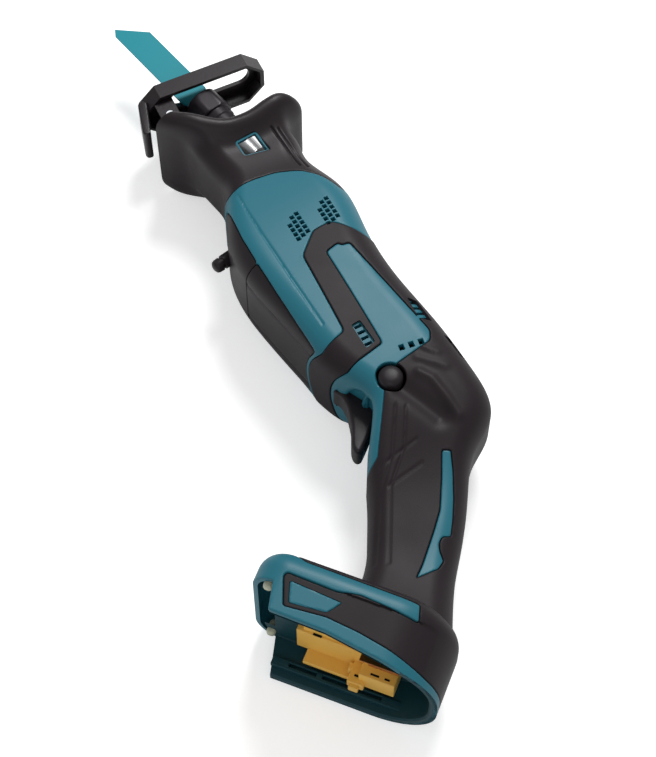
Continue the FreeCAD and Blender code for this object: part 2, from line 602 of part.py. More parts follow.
def motor():
    centre = ("motor_y", 0)
    teeth = [spoke(f"pinion_tooth_{i}", "x", "pinion_front", *centre, f"90 + {i} * 360 / pinion_teeth", 2.4,
                   "pinion_r - 2.4", "pinion_tooth", 0, "pinion_long") for i in range(CELLS["pinion_teeth"])]
    hub = rod("pinion_hub", "x", "pinion_front", *centre, "pinion_root", "pinion_long + 1.5")
    hole = rod("pinion_bore", "x", "pinion_front - 1", *centre, "shaft_r", "pinion_long + 4")
    node("motor_pinion", cut("pinion_cut", fuse("pinion_solid", hub, *teeth), hole))
    node("motor_shaft", rod("shaft", "x", "pinion_front - 0.6", *centre, "shaft_r", "shaft_rear - pinion_front + 0.6"))
    slots = [spoke(f"core_slot_{i}", "x", "core_front - 1", *centre, f"{i} * 360 / core_slots", 11, 12, "core_slot", 0,
                   "core_long + 2") for i in range(CELLS["core_slots"])]
    core = rod("core_disc", "x", "core_front", *centre, "core_r", "core_long")
    bore = rod("core_bore", "x", "core_front - 1", *centre, "shaft_r", "core_long + 2")
    node("armature_core", cut("core_cut", core, fuse("core_slots_all", bore, *slots)))
    node("commutator", ring("bars", "x", "commutator_x", *centre, "commutator_r", "shaft_r", "commutator_long"))
    blades = [spoke(f"fan_blade_{i}", "x", "fan_x", *centre, f"{i} * 360 / fan_blades", "fan_hub - 1",
                    "fan_r - fan_hub + 1", "fan_thick", 0, "fan_blade") for i in range(CELLS["fan_blades"])]
    disc = rod("fan_disc", "x", "fan_x", *centre, "fan_r", "fan_thick")
    eye = rod("fan_eye", "x", "fan_x - 1", *centre, "shaft_r", "fan_blade + 4")
    fan_hub = rod("fan_boss", "x", "fan_x", *centre, "fan_hub", "fan_blade")
    node("cooling_fan", cut("fan_cut", fuse("fan_solid", disc, fan_hub, *blades), eye))
    node("motor_can", ring("can", "x", "can_front", *centre, "can_r", "can_r - can_wall", "can_long"))
    arcs = ring("magnet_ring", "x", "can_front + 3", *centre, "can_r - can_wall - 0.02",
                "can_r - can_wall - magnet_thick", "can_long - 8")
    gap = box("magnet_gap", "can_front", "motor_y - can_r", "0 - magnet_gap / 2", "can_long", "2 * can_r", "magnet_gap")
    node("motor_magnets", cut("magnets", arcs, gap))
    plug = rod("endbell_disc", "x", "endbell_x", *centre, "can_r - 0.3", "endbell_long")
    room = rod("endbell_room", "x", "endbell_x - 1", *centre, "can_r - 6", "endbell_long - 2.5")
    seat = rod("rear_bearing_seat", "x", "endbell_x", *centre, "motor_bearing_r - 1", "endbell_long + 2")
    guides = [box(f"brush_guide_{side}", "commutator_x", "motor_y - brush_wide / 2 - 1.5", low, "brush_wide + 2",
                  "brush_wide + 3", 10) for side, low in (("left", "commutator_r + 1.6"),
                                                         ("right", "0 - commutator_r - 11.6"))]
    tunnels = [box(f"brush_way_{side}", "commutator_x + 1", "motor_y - brush_wide / 2", low, "brush_wide",
                   "brush_wide", 14) for side, low in (("left", "commutator_r"), ("right", "0 - commutator_r - 14"))]
    node("brush_holder", cut("holder_cut", fuse("holder_solid", cut("endbell_ring", plug, room), *guides),
                             fuse("holder_tools", seat, *tunnels)))
    sides = {"left": "commutator_r + 0.15", "right": "0 - commutator_r - brush_long - 0.15"}
    brushes = [box(f"brush_{side}", "commutator_x + 1.1", "motor_y - brush_wide / 2 + 0.1", low, "brush_wide - 0.2",
                   "brush_wide - 0.2", "brush_long") for side, low in sides.items()]
    node("carbon_brushes", fuse("brushes", *brushes))
    races = [ring("race_front", "x", "front_bearing_x", *centre, "motor_bearing_r", "shaft_r + fit",
                  "motor_bearing_wide"),
             ring("race_rear", "x", "endbell_x + endbell_long - 2.2", *centre, "motor_bearing_r - 1.05",
                  "shaft_r + fit", 4)]
    node("motor_bearings", fuse("races", *races))


# ---------------------------------------------------------------- shoe

def shoe_plate():
    """The pressed shoe: a slotted octagonal face with a turned-back rim and two ears for its pivot."""
    face = add("PartDesign::Body", "shoe_body")
    doc.recompute()
    half, corner, low, tall = (CELLS[f"shoe_{key}"] for key in ("half", "corner", "low", "tall"))

    def octagon(name, inset):
        sketch = face.newObject("Sketcher::SketchObject", name)
        sketch.AttachmentSupport = [(next(f for f in face.Origin.OriginFeatures if f.Role == "YZ_Plane"), "")]
        sketch.MapMode = "FlatFace"
        ys = {"low": "shoe_low + " + inset, "low_in": "shoe_low + shoe_corner",
              "top_in": "shoe_low + shoe_tall - shoe_corner", "top": "shoe_low + shoe_tall - " + inset}
        zs = {"edge": "shoe_half - " + inset, "edge_in": "shoe_half - shoe_corner"}
        loop = [("low", "edge_in", 1), ("low_in", "edge", 1), ("top_in", "edge", 1), ("top", "edge_in", 1),
                ("top", "edge_in", -1), ("top_in", "edge", -1), ("low_in", "edge", -1), ("low", "edge_in", -1)]
        guess = {"low": low, "low_in": low + corner, "top_in": low + tall - corner, "top": low + tall,
                 "edge": half, "edge_in": half - corner}
        points = [Vector(guess[y], sign * guess[z], 0) for y, z, sign in loop]
        sketch.addGeometry([Part.LineSegment(points[i], points[(i + 1) % 8]) for i in range(8)], False)
        sketch.addConstraint([Sketcher.Constraint("Coincident", i, 2, (i + 1) % 8, 1) for i in range(8)])
        for i, (y, z, sign) in enumerate(loop):
            for kind, text, value in (("DistanceX", ys[y], points[i].x),
                                      ("DistanceY", zs[z] if sign > 0 else f"0 - ({zs[z]})", points[i].y)):
                where = sketch.addConstraint(Sketcher.Constraint(kind, -1, 1, i, 1, value))
                sketch.renameConstraint(where, f"{kind}_{i}")
                bind(sketch, f"Constraints.{kind}_{i}", text)
        return sketch

    outside = face.newObject("PartDesign::Pad", "shoe_pad")
    outside.Profile = octagon("shoe_outline", "0")
    bind(outside, "Length", "shoe_rim")
    dish = face.newObject("PartDesign::Pocket", "shoe_dish")
    dish.Profile = octagon("shoe_inside", "shoe_thick")
    bind(dish, "Length", "shoe_rim - shoe_thick")
    bind(dish.Profile[0], "AttachmentOffset.Base.z", "shoe_rim")
    doc.recompute()
    slot = rod("slot_end_low", "x", -2, "shoe_slot_low + shoe_slot_half", 0, "shoe_slot_half", 30)
    slot_top = rod("slot_end_top", "x", -2, "shoe_slot_low + shoe_slot_tall - shoe_slot_half", 0,
                   "shoe_slot_half", 30)
    middle = box("slot_middle", -2, "shoe_slot_low + shoe_slot_half", "0 - shoe_slot_half", 30,
                 "shoe_slot_tall - 2 * shoe_slot_half", "2 * shoe_slot_half")
    return face, fuse("shoe_slot", slot, slot_top, middle)


def shoe():
    """The shoe leans on its pivot; the ears' eyes are found by turning the pivot into the plate's own frame."""
    face, slot = shoe_plate()
    stand(face, 0, 0, 0)
    sine, cosine = "sin(shoe_lean * 1deg)", "cos(shoe_lean * 1deg)"
    eye_x = f"((pivot_x - shoe_face_x) * {cosine} - pivot_y * {sine})"
    eye_y = f"((pivot_x - shoe_face_x) * {sine} + pivot_y * {cosine})"
    ears = []
    for side, low in (("left", "bar_half + ear_gap"), ("right", "0 - bar_half - ear_gap - ear_thick")):
        ears.append(box(f"ear_{side}", 1, f"{eye_y} - ear_half", low, f"{eye_x} - 1", "2 * ear_half", "ear_thick"))
        ears.append(rod(f"ear_end_{side}", "z", eye_x, eye_y, low, "ear_half", "ear_thick"))
    turned = add("Part::Compound", "shoe_turned")
    turned.Links = [fuse("shoe_with_ears", cut("shoe_slotted", face, slot), *ears)]
    bind(turned, "Placement",
         "create(<<placement>>; create(<<vector>>; shoe_face_x + shift_x; shift_y; shift_z);"
         " create(<<rotation>>; 0 - shoe_lean; 0; 0))"
         " * create(<<placement>>; create(<<vector>>; 0 - shift_x; 0 - shift_y; 0 - shift_z);"
         " create(<<rotation>>; 0; 0; 0))")
    pin_way = rod("pivot_way", "z", "pivot_x", "pivot_y", -20, "pivot_r + fit", 40)
    node("shoe_plate", cut("shoe_cut", turned, pin_way))
    bar = box("bar", "bar_front", "pivot_y - bar_thick / 2", "0 - bar_half", "bar_long", "bar_thick", "2 * bar_half")
    notches = [box(f"bar_notch_{i}", f"bar_front + 34 + {i} * 9", "pivot_y - bar_thick / 2 - 1", -4, 4, 3, 8)
               for i in range(6)]
    hole = rod("bar_eye", "z", "pivot_x", "pivot_y", -20, "pivot_r", 40)
    node("shoe_bar", cut("bar_cut", bar, fuse("bar_tools", hole, *notches)))
    node("shoe_pivot_pin", rod("pivot_pin", "z", "pivot_x", "pivot_y", -14.6, "pivot_r", 29.2))


# ---------------------------------------------------------------- controls and electrics

def controls():
    cap = rod("release_cap", "y", "release_x", "release_end", 0, "release_r", "release_top - 3.6 - release_end")
    stem = rod("release_stem", "y", "release_x", "release_end + 2", 0, "release_stem_r",
               "release_top + 4 - release_end")
    node("release_button", fuse("release_solid", cap, stem))
    bar = rod("lock_bar", "z", "lock_x", "lock_y", "0 - lock_half", "lock_r", "2 * lock_half")
    waist = ring("lock_waist", "z", "lock_x", "lock_y", -9, "lock_r + 2", "lock_r - 1.6", 18)
    node("lock_off_button", cut("lock_cut", bar, waist))
    trigger = plate("trigger_side", "0 - trigger_half", "trigger_half", rounding=1.5)
    node("trigger", trigger)
    node("switch_body", plate("switch_side", -8.5, 8.5, rounding=1.5))
    node("release_spring", coil_spring("release_coil", "y", "release_x", "release_top + 7", 0, 2.2, 6, 4))
    node("trigger_spring", coil_spring("trigger_coil", "x", 271.5, -51, 0, 2.6, 6, 4))


def electrics():
    body = plate("terminal_foot", -15, 15, on_foot=True)
    ledge = foot_box("terminal_ledge", 25, -24, -17, 66, 3.2, 34)
    wings = foot_box("terminal_wings", 55, -36.5, -19, 9, 13, 38)
    slots = [foot_box(f"contact_slot_{i}", 65, -35, z, 24, 9, 1.4) for i, z in enumerate((-10.7, 9.3))]
    pocket = foot_box("signal_slot", 69, -31.5, -3, 20, 4, 6)
    node("terminal_block", cut("terminal_cut", fuse("terminal_solid", body, ledge, wings),
                               fuse("terminal_slots", pocket, *slots)))
    contacts = [foot_box(f"contact_{i}", 66, -34.8, z, 20, 8.6, 1.0) for i, z in enumerate((-10.5, 9.5))]
    contacts.append(foot_box("signal_contact", 70, -31.1, -2.6, 17, 3, 5.2))
    node("battery_contacts", fuse("contacts", *contacts))
    pads = [foot_rod(f"pad_{side}", 12, "0 - foot_roof - 3.2", z, 3.2, 3.2)
            for side, z in (("left", 22), ("right", -22))]
    node("bumper_pads", fuse("pads", *pads))


def fasteners():
    stems = screw_rods("screw_stem", "screw_r", "screw_seat", "screw_long")
    heads = screw_rods("screw_cap", "screw_head_r", "screw_seat - screw_head", "screw_head")
    holes = screw_rods("screw_socket", 1.3, "screw_seat - screw_head - 1", 2.4)
    node("housing_screws", cut("screws", fuse("screw_solids", *stems, *heads), fuse("sockets", *holes)))


gear_case()
bushes_and_seal()
blade_rod()
saw_blade()
clamp_sleeve()
crank()
motor()
shoe()
controls()
electrics()
fasteners()


# ---------------------------------------------------------------- check and write

def main():
    doc.recompute()
    for thing in doc.Objects:
        if {"Invalid", "Error"} & set(thing.State):
            raise SystemExit(f"{thing.Name} failed: {thing.State}")
    os.makedirs("parts", exist_ok=True)
    whole = FreeCAD.BoundBox()
    for label, thing in NODES.items():
        shape = thing.Shape
        if shape.isNull() or not shape.isValid() or not shape.Solids:
            raise SystemExit(f"{label} has no valid shape")
        shape.exportStep(f"parts/{label}.step")
        whole.add(shape.BoundBox)
        print(f"{label:22} {len(shape.Solids)} solids, {shape.Volume / 1000:8.2f} cm3, {len(shape.Faces)} faces")
    print("whole", whole)


main()
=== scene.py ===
import json
import math

import bpy
import numpy as np
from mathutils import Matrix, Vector
from mathutils.geometry import tessellate_polygon

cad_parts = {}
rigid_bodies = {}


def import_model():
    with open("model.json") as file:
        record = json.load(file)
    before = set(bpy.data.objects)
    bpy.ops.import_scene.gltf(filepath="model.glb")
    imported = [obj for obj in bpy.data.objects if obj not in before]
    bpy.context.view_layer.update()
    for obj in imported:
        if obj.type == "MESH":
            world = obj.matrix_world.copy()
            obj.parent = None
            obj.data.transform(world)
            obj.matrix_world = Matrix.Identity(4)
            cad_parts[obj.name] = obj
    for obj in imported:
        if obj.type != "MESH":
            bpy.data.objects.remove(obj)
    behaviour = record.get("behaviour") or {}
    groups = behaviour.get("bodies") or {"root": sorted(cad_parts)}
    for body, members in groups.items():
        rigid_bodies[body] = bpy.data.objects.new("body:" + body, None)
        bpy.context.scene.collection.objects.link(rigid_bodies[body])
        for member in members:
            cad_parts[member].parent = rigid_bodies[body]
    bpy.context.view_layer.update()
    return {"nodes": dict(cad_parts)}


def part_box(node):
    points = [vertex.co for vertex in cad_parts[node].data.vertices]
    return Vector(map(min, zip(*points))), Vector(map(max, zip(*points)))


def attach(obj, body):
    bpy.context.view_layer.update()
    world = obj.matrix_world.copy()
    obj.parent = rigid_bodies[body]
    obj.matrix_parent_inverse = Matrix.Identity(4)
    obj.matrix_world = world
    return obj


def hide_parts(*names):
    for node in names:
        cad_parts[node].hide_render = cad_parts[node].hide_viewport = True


# A cordless reciprocating saw lying on its right side.
# Shapes are worked out in millimetres in the saw's side frame: X rearward from the shoe, Y to the tool's top,
# Z to its left side, with the blade's line at Y = 0, Z = 0. The foot has a frame of its own, turned about Z.

MM = 0.001
for leftover in list(bpy.data.objects):
    bpy.data.objects.remove(leftover)
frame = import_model()

BLADE_TIP_X = -56.0
blade_low, blade_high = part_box("saw_blade")
ORIGIN = np.array([blade_low[0] - BLADE_TIP_X * MM, (blade_low[1] + blade_high[1]) / 2,
                   (blade_low[2] + blade_high[2]) / 2])

FOOT_ORIGIN = np.array([301.9, -167.1, 0.0])
FOOT_TURN = math.radians(29)
FOOT_LONG, FOOT_HALF, FOOT_DEEP, FOOT_ROOF, FOOT_WALL = 113.0, 40.0, 43.5, 20.5, 5.0

# Stations of the body, front to rear: lowest point, top point, half width, lower and upper rounding
STATIONS = [
    (41, -43, 72, 38.5, 40, 17, 17),
    (57, -42.5, 82, 33.5, 37, 18, 18),
    (77, -38, 97, 22.5, 29.5, 15, 15),
    (97, -38, 111, 16.5, 28, 15, 16),
    (112, -47.5, 124, 16.5, 30, 14, 17),
    (132, -61.5, 142, 18, 33, 16, 18),
    (176, -70.5, 178, 8.5, 35.5, 16, 20),
    (213, -71.5, 215, 1, 35.5, 15, 20),
    (242, -70, 250, -1, 34, 14, 20),
    (266, -66, 284, -5, 32, 13, 20),
    (281, -78, 311, -14, 28, 12, 18),
    (295, -91, 323, -37, 23, 12, 15),
    (309, -102, 338, -55, 20, 13, 14),
    (323, -114, 355, -73, 19.5, 13, 14),
    (336, -126, 372, -94, 20.5, 13, 14),
    (351, -147, 399, -121, 28, 14, 14),
]


# ---------------------------------------------------------------- outlines and distances to them

def rounded(points, radius):
    """A closed outline with each corner turned by a short curve."""
    points = np.array(points, float)
    result = []
    for i, corner in enumerate(points):
        before, after = points[i - 1] - corner, points[(i + 1) % len(points)] - corner
        start = corner + before * min(0.5, radius / np.linalg.norm(before))
        end = corner + after * min(0.5, radius / np.linalg.norm(after))
        for t in np.linspace(0, 1, 6):
            result.append((1 - t) ** 2 * start + 2 * t * (1 - t) * corner + t ** 2 * end)
    return np.array(result)


def segments_distance(points, xy):
    """Distance from each place to the nearest part of a line of points."""
    nearest = np.full(len(xy), 1e9)
    for a, b in zip(points[:-1], points[1:]):
        run = b - a
        share = np.clip(((xy - a) @ run) / max(run @ run, 1e-9), 0, 1)
        gap = xy - a - share[:, None] * run
        nearest = np.minimum(nearest, (gap * gap).sum(1))
    return np.sqrt(nearest)


def remembered(measure):
    """A field over a skin's vertices, worked out once for each and kept while the skin is cut and pushed."""
    def field(skin):
        known = skin.known.get(field, np.zeros(0))
        if len(known) < len(skin.v):
            known = np.concatenate([known, measure(skin.v[len(known):])])
            skin.known[field] = known
        return known.copy()
    return field


# Under the belly, between these places, the zone edges bow by this much, less near the flanks
BELLY_FROM, BELLY_TO, BELLY_TOP, BELLY_HALF, BELLY_FADE, BOW = 195, 262, -58, 29, 8, 9


def side_view(p):
    """Places as seen from the side, but under the body zone edges bow forward towards the middle."""
    xy = p[:, :2].copy()
    under = (p[:, 1] < BELLY_TOP) & (p[:, 0] > BELLY_FROM) & (p[:, 0] < BELLY_TO)
    near_middle = 1 - np.clip(np.abs(p[under, 2]) / BELLY_HALF, 0, 1) ** 2
    xy[under, 0] += BOW * near_middle * np.clip((BELLY_TOP - p[under, 1]) / BELLY_FADE, 0, 1)
    return xy


def inside(outline):
    """A field that is the distance in from a closed outline, negative outside it."""
    closed = np.vstack([outline, outline[:1]])

    @remembered
    def field(p):
        xy = side_view(p)
        odd = np.zeros(len(xy), bool)
        for a, b in zip(closed[:-1], closed[1:]):
            if a[1] != b[1]:
                spans = (a[1] > xy[:, 1]) != (b[1] > xy[:, 1])
                odd ^= spans & (xy[:, 0] < a[0] + (xy[:, 1] - a[1]) * (b[0] - a[0]) / (b[1] - a[1]))
        return np.where(odd, 1, -1) * segments_distance(closed, xy)
    return field


def along(points):
    """A field that falls away from zero on a line."""
    line = np.array(points, float)
    return remembered(lambda p: -segments_distance(line, p[:, :2]))


def both(*fields):
    """A field inside all of these."""
    return lambda skin: np.min([f(skin) for f in fields], axis=0)


def either(*fields):
    """A field inside any of these."""
    return lambda skin: np.max([f(skin) for f in fields], axis=0)


def outside(field, by=0.0):
    """A field that is the distance out from another, less a margin."""
    return lambda skin: -field(skin) - by


def within(field, by):
    """A field drawn in by a margin."""
    return lambda skin: field(skin) - by


# ---------------------------------------------------------------- skins: triangles with smooth normals

class Skin:
    """Vertices, outward normals, triangles, and the fields remembered over the vertices."""

    def __init__(self, v, n, t, known=None):
        self.v, self.n, self.t, self.known = v, n, t, known or {}


def unit(a):
    return a / np.maximum(np.linalg.norm(a, axis=1, keepdims=True), 1e-12)


def edge_keys(t, count):
    """One number for each edge of each triangle, whichever way round the edge is read."""
    pairs = np.sort(np.stack([t[:, [0, 1]], t[:, [1, 2]], t[:, [2, 0]]], 1), axis=2)
    return pairs[..., 0] * count + pairs[..., 1]


def between(skin, a, b, w):
    """Points between two vertices, held to the curved surface that their normals tell of."""
    w = w[:, None]
    p = skin.v[a] * (1 - w) + skin.v[b] * w
    on_a = p - ((p - skin.v[a]) * skin.n[a]).sum(1, keepdims=True) * skin.n[a]
    on_b = p - ((p - skin.v[b]) * skin.n[b]).sum(1, keepdims=True) * skin.n[b]
    curved = on_a * (1 - w) + on_b * w
    return p * 0.3 + curved * 0.7, unit(skin.n[a] * (1 - w) + skin.n[b] * w)


def divide(skin, marked, weight):
    """Split marked edges at a share of their length, and the triangles that they bound."""
    count = len(skin.v)
    keys = edge_keys(skin.t, count)
    uniq, back = np.unique(keys.ravel(), return_inverse=True)
    a, b = uniq // count, uniq % count
    hit = marked(a, b)
    fresh = np.full(len(uniq), -1)
    fresh[hit] = count + np.arange(hit.sum())
    v, n = between(skin, a[hit], b[hit], weight(a[hit], b[hit]))
    m = fresh[back].reshape(-1, 3)
    cuts = (m >= 0).sum(1)
    parts = [skin.t[cuts == 0]]

    def turned(rows, first):
        """Corners and cut points of these triangles, counted from a given corner."""
        order = (first[:, None] + np.arange(3)) % 3
        line = np.arange(len(rows))[:, None]
        return skin.t[rows][line, order], m[rows][line, order]

    rows = np.nonzero(cuts == 1)[0]
    t, e = turned(rows, m[rows].argmax(1))
    parts += [np.stack([t[:, 0], e[:, 0], t[:, 2]], 1), np.stack([e[:, 0], t[:, 1], t[:, 2]], 1)]
    rows = np.nonzero(cuts == 2)[0]
    t, e = turned(rows, (m[rows].argmin(1) + 2) % 3)
    parts += [np.stack([t[:, 0], e[:, 0], e[:, 2]], 1), np.stack([e[:, 0], t[:, 1], t[:, 2]], 1),
              np.stack([e[:, 0], t[:, 2], e[:, 2]], 1)]
    rows = np.nonzero(cuts == 3)[0]
    t, e = skin.t[rows], m[rows]
    parts += [np.stack([t[:, 0], e[:, 0], e[:, 2]], 1), np.stack([e[:, 0], t[:, 1], e[:, 1]], 1),
              np.stack([e[:, 2], e[:, 1], t[:, 2]], 1), e]
    skin.v, skin.n = np.vstack([skin.v, v]), np.vstack([skin.n, n])
    skin.t = np.vstack([p for p in parts if len(p)])


def score(skin, field, *levels):
    """Add edges along the lines where a field has these values."""
    for level in levels:
        f = field(skin) - level
        f[np.abs(f) < 1e-4] = 1e-4
        divide(skin, lambda a, b: (f[a] < 0) != (f[b] < 0), lambda a, b: f[a] / (f[a] - f[b]))


def refine(skin, field, times=1):
    """Halve every edge inside a field."""
    for _ in range(times):
        f = field(skin) > 0
        divide(skin, lambda a, b: f[a] | f[b], lambda a, b: np.full(len(a), 0.5))


def take(skin, field):
    """The triangles whose middles lie inside a field, as a skin of their own."""
    t = skin.t[field(skin)[skin.t].mean(1) > 0]
    used, back = np.unique(t.ravel(), return_inverse=True)
    return Skin(skin.v[used], skin.n[used], back.reshape(-1, 3), {f: f(skin)[used] for f in list(skin.known)})


def push(skin, amount):
    """Move the vertices along their normals by an amount for each."""
    skin.v = skin.v + skin.n * (amount[:, None] if np.ndim(amount) else amount)
    return skin


def edge_round(distance, radius):
    """How far a rounded edge lies below its surface, at a distance in from the edge."""
    d = np.clip(distance, 0, radius)
    return radius - np.sqrt(np.maximum(radius ** 2 - (radius - d) ** 2, 0))


def border(skin):
    """Directed edges that only one triangle uses."""
    count = len(skin.v)
    keys = edge_keys(skin.t, count)
    uniq, back, times = np.unique(keys.ravel(), return_inverse=True, return_counts=True)
    alone = (times[back] == 1).reshape(-1, 3)
    pairs = np.stack([skin.t, np.roll(skin.t, -1, 1)], 2)
    return pairs[alone]


def walls(skin, place, steps=(1.0,), only=None):
    """Strips that run from the border inward; place(points, normals, share) says where each step lies."""
    pairs = border(skin)
    skin.count_before_walls = getattr(skin, "count_before_walls", len(skin.v))
    if only is not None:
        pairs = pairs[only(skin)[pairs].mean(1) > 0]
    if not len(pairs):
        return skin
    used, back = np.unique(pairs.ravel(), return_inverse=True)
    back = back.reshape(-1, 2)
    points, normals = skin.v[used], skin.n[used]
    last = used
    for share in steps:
        base = len(skin.v)
        fresh = base + np.arange(len(used))
        known = {f: f(skin) for f in list(skin.known)}
        skin.v = np.vstack([skin.v, place(points, normals, share)])
        skin.n = np.vstack([skin.n, normals])
        skin.known = {f: np.concatenate([k, k[used]]) for f, k in known.items()}
        a, b = last[back[:, 0]], last[back[:, 1]]
        c, d = fresh[back[:, 0]], fresh[back[:, 1]]
        skin.t = np.vstack([skin.t, np.stack([b, a, c], 1), np.stack([b, c, d], 1)])
        last = fresh
    return skin


def straight_in(depth):
    """A place for walls that go straight in, to a depth."""
    return lambda p, n, share: p - n * depth * share


def thick(skin, depth):
    """A skin with its inner face and the rim between them."""
    count = len(skin.v)
    pairs = border(skin)
    inner = skin.v - skin.n * depth
    rim = np.vstack([np.stack([pairs[:, 1], pairs[:, 0], pairs[:, 0] + count], 1),
                     np.stack([pairs[:, 1], pairs[:, 0] + count, pairs[:, 1] + count], 1)])
    return Skin(np.vstack([skin.v, inner]), np.vstack([skin.n, -skin.n]),
                np.vstack([skin.t, skin.t[:, ::-1] + count, rim]))


def grid_skin(rings, closed=True):
    """A skin through rings of points, with normals from the grid."""
    rows, cols = rings.shape[:2]
    around = np.roll(rings, -1, 1) - np.roll(rings, 1, 1)
    ahead = np.gradient(rings, axis=0)
    n = unit(np.cross(around, ahead).reshape(-1, 3))
    i, j = np.meshgrid(np.arange(rows - 1), np.arange(cols if closed else cols - 1), indexing="ij")
    a, b = i * cols + j, i * cols + (j + 1) % cols
    c, d = a + cols, b + cols
    t = np.vstack([np.stack([a, b, d], -1).reshape(-1, 3), np.stack([a, d, c], -1).reshape(-1, 3)])
    return Skin(rings.reshape(-1, 3).copy(), n, t)


def in_foot(skin):
    """Move a skin from the foot's own frame, where it was made, to the side frame."""
    c, s = math.cos(FOOT_TURN), math.sin(FOOT_TURN)
    p = skin.v
    skin.v = np.stack([p[:, 0] * c - p[:, 1] * s, p[:, 0] * s + p[:, 1] * c, p[:, 2]], 1) + FOOT_ORIGIN
    return skin


def piece(name, skins, materials, body, replaced=(), sharp=38):
    """One object from one or more skins, each with its material."""
    skins = skins if isinstance(skins, list) else [skins]
    materials = materials if isinstance(materials, list) else [materials]
    verts = np.vstack([s.v for s in skins]) * MM + ORIGIN
    offsets = np.cumsum([0] + [len(s.v) for s in skins[:-1]])
    faces = np.vstack([s.t + o for s, o in zip(skins, offsets)])
    mesh = bpy.data.meshes.new(name)
    mesh.vertices.add(len(verts))
    mesh.vertices.foreach_set("co", verts.ravel())
    mesh.loops.add(faces.size)
    mesh.loops.foreach_set("vertex_index", faces.ravel())
    mesh.polygons.add(len(faces))
    mesh.polygons.foreach_set("loop_start", np.arange(0, faces.size, 3))
    order = list(dict.fromkeys(materials))
    for finish in order:
        mesh.materials.append(finish)
    index = np.concatenate([np.full(len(s.t), order.index(m)) for s, m in zip(skins, materials)])
    mesh.polygons.foreach_set("material_index", index.astype(np.int32))
    mesh.update(calc_edges=True)
    mesh.validate()
    mesh.shade_smooth()
    mesh.set_sharp_from_angle(angle=math.radians(sharp))
    obj = bpy.data.objects.new(name, mesh)
    bpy.context.scene.collection.objects.link(obj)
    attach(obj, body)
    if replaced:
        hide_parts(*replaced)
    return obj


# ---------------------------------------------------------------- materials

def colour(text):
    """An sRGB hex colour as the linear values that a socket takes."""
    values = [int(text[i:i + 2], 16) / 255 for i in (1, 3, 5)]
    return [v / 12.92 if v <= 0.04045 else ((v + 0.055) / 1.055) ** 2.4 for v in values] + [1.0]


def add_node(tree, kind, settings=None, **links):
    """Add a node, set its properties and default values, and link its inputs."""
    made = tree.nodes.new(kind)
    for key, value in (settings or {}).items():
        if isinstance(key, int) or key in made.inputs:
            made.inputs[key].default_value = value
        else:
            setattr(made, key, value)
    for key, source in links.items():
        tree.links.new(source, made.inputs[key.replace("_", " ")])
    return made


# Moulded and coated faces change in gloss over about this size, from handling and flow in the mould
GLOSS_PATCH_MM = 25


def material(name, base, rough, metal=0.0, grain_mm=0.5, grain=0.05, patches=0.06, specular=0.5):
    """A surface with a fine grain to its relief and slow, faint changes in its gloss."""
    made = bpy.data.materials.new(name)
    made.use_nodes = True
    tree = made.node_tree
    tree.nodes.clear()
    place = add_node(tree, "ShaderNodeTexCoord").outputs["Object"]
    fine = add_node(tree, "ShaderNodeTexNoise", {"Scale": 1 / (grain_mm * MM), "Detail": 3.0}, Vector=place)
    slow = add_node(tree, "ShaderNodeTexNoise", {"Scale": 1 / (GLOSS_PATCH_MM * MM), "Detail": 2.0},
                    Vector=place)
    gloss = add_node(tree, "ShaderNodeMapRange", {"To Min": rough - patches, "To Max": rough + patches},
                     Value=slow.outputs["Fac"])
    relief = add_node(tree, "ShaderNodeBump", {"Strength": grain, "Distance": grain_mm * MM * 0.5},
                      Height=fine.outputs["Fac"])
    shader = add_node(tree, "ShaderNodeBsdfPrincipled",
                      {"Base Color": colour(base), "Metallic": metal, "Specular IOR Level": specular},
                      Roughness=gloss.outputs["Result"], Normal=relief.outputs["Normal"])
    add_node(tree, "ShaderNodeOutputMaterial", Surface=shader.outputs["BSDF"])
    made.diffuse_color = colour(base)
    return made


# Glass-filled nylon, moulded against a fine spark-eroded tool: a satin teal with a soft broad highlight
TEAL_NYLON = material("moulded teal nylon", "#256f80", 0.42, grain_mm=0.45, grain=0.12, specular=0.3)
# The same nylon inside the foot and window, left rougher by the tool; its teal is darkened as painted shade,
# since these insides are seen in shade
TEAL_PAINTED_SHADE = material("teal nylon with painted shade", "#144049", 0.5, grain_mm=0.45, grain=0.12, specular=0.3)
# Thermoplastic elastomer moulded over the nylon: warm near-black and matt, with the broadest highlights
BLACK_ELASTOMER = material("black elastomer overmould", "#262024", 0.52, grain_mm=0.55, grain=0.22,
                           specular=0.22)
# Thick moulded rubber of the boot: a little smoother than the grip, so that its rolls carry a dull shine
BOOT_RUBBER = material("moulded boot rubber", "#231d21", 0.42, grain_mm=0.7, grain=0.15, specular=0.3)
# Black nylon of covers and buttons: satin with fine texture
BLACK_NYLON = material("textured black nylon", "#221d21", 0.44, grain_mm=0.4, grain=0.16, specular=0.3)
# Near-black colour that is painted shade: the dark inside of the shell, which only its openings show, and the
# terminal's slots
PAINTED_SHADE_BLACK = material("near-black painted shade", "#0c1213", 0.8, specular=0.1)
# Powder-coated pressed steel of the shoe: black with a low sheen and a slight orange-peel
COATED_STEEL = material("black coated steel", "#211c20", 0.34, grain_mm=1.2, grain=0.10, specular=0.35)
# Painted blade: an even teal enamel with a mild gloss
BLADE_ENAMEL = material("teal blade enamel", "#1c8f9d", 0.38, grain_mm=0.6, grain=0.04, specular=0.3)
# Ground and hardened steel of rods, pins and gears: bright, with a sharp highlight
GROUND_STEEL = material("ground steel", "#b9bbbd", 0.28, metal=1.0, grain_mm=0.3, grain=0.05)
# Zinc-plated steel: brighter and greyer, with faint cloudiness
ZINC_STEEL = material("zinc plated steel", "#c9ccd0", 0.34, metal=1.0, grain_mm=0.8, grain=0.06)
# Chemically blackened steel of the blade clamp: dark, with a dull metal sheen
BLACKED_STEEL = material("blackened steel", "#2c272c", 0.4, metal=0.35, grain_mm=0.5, grain=0.08,
                         specular=0.4)
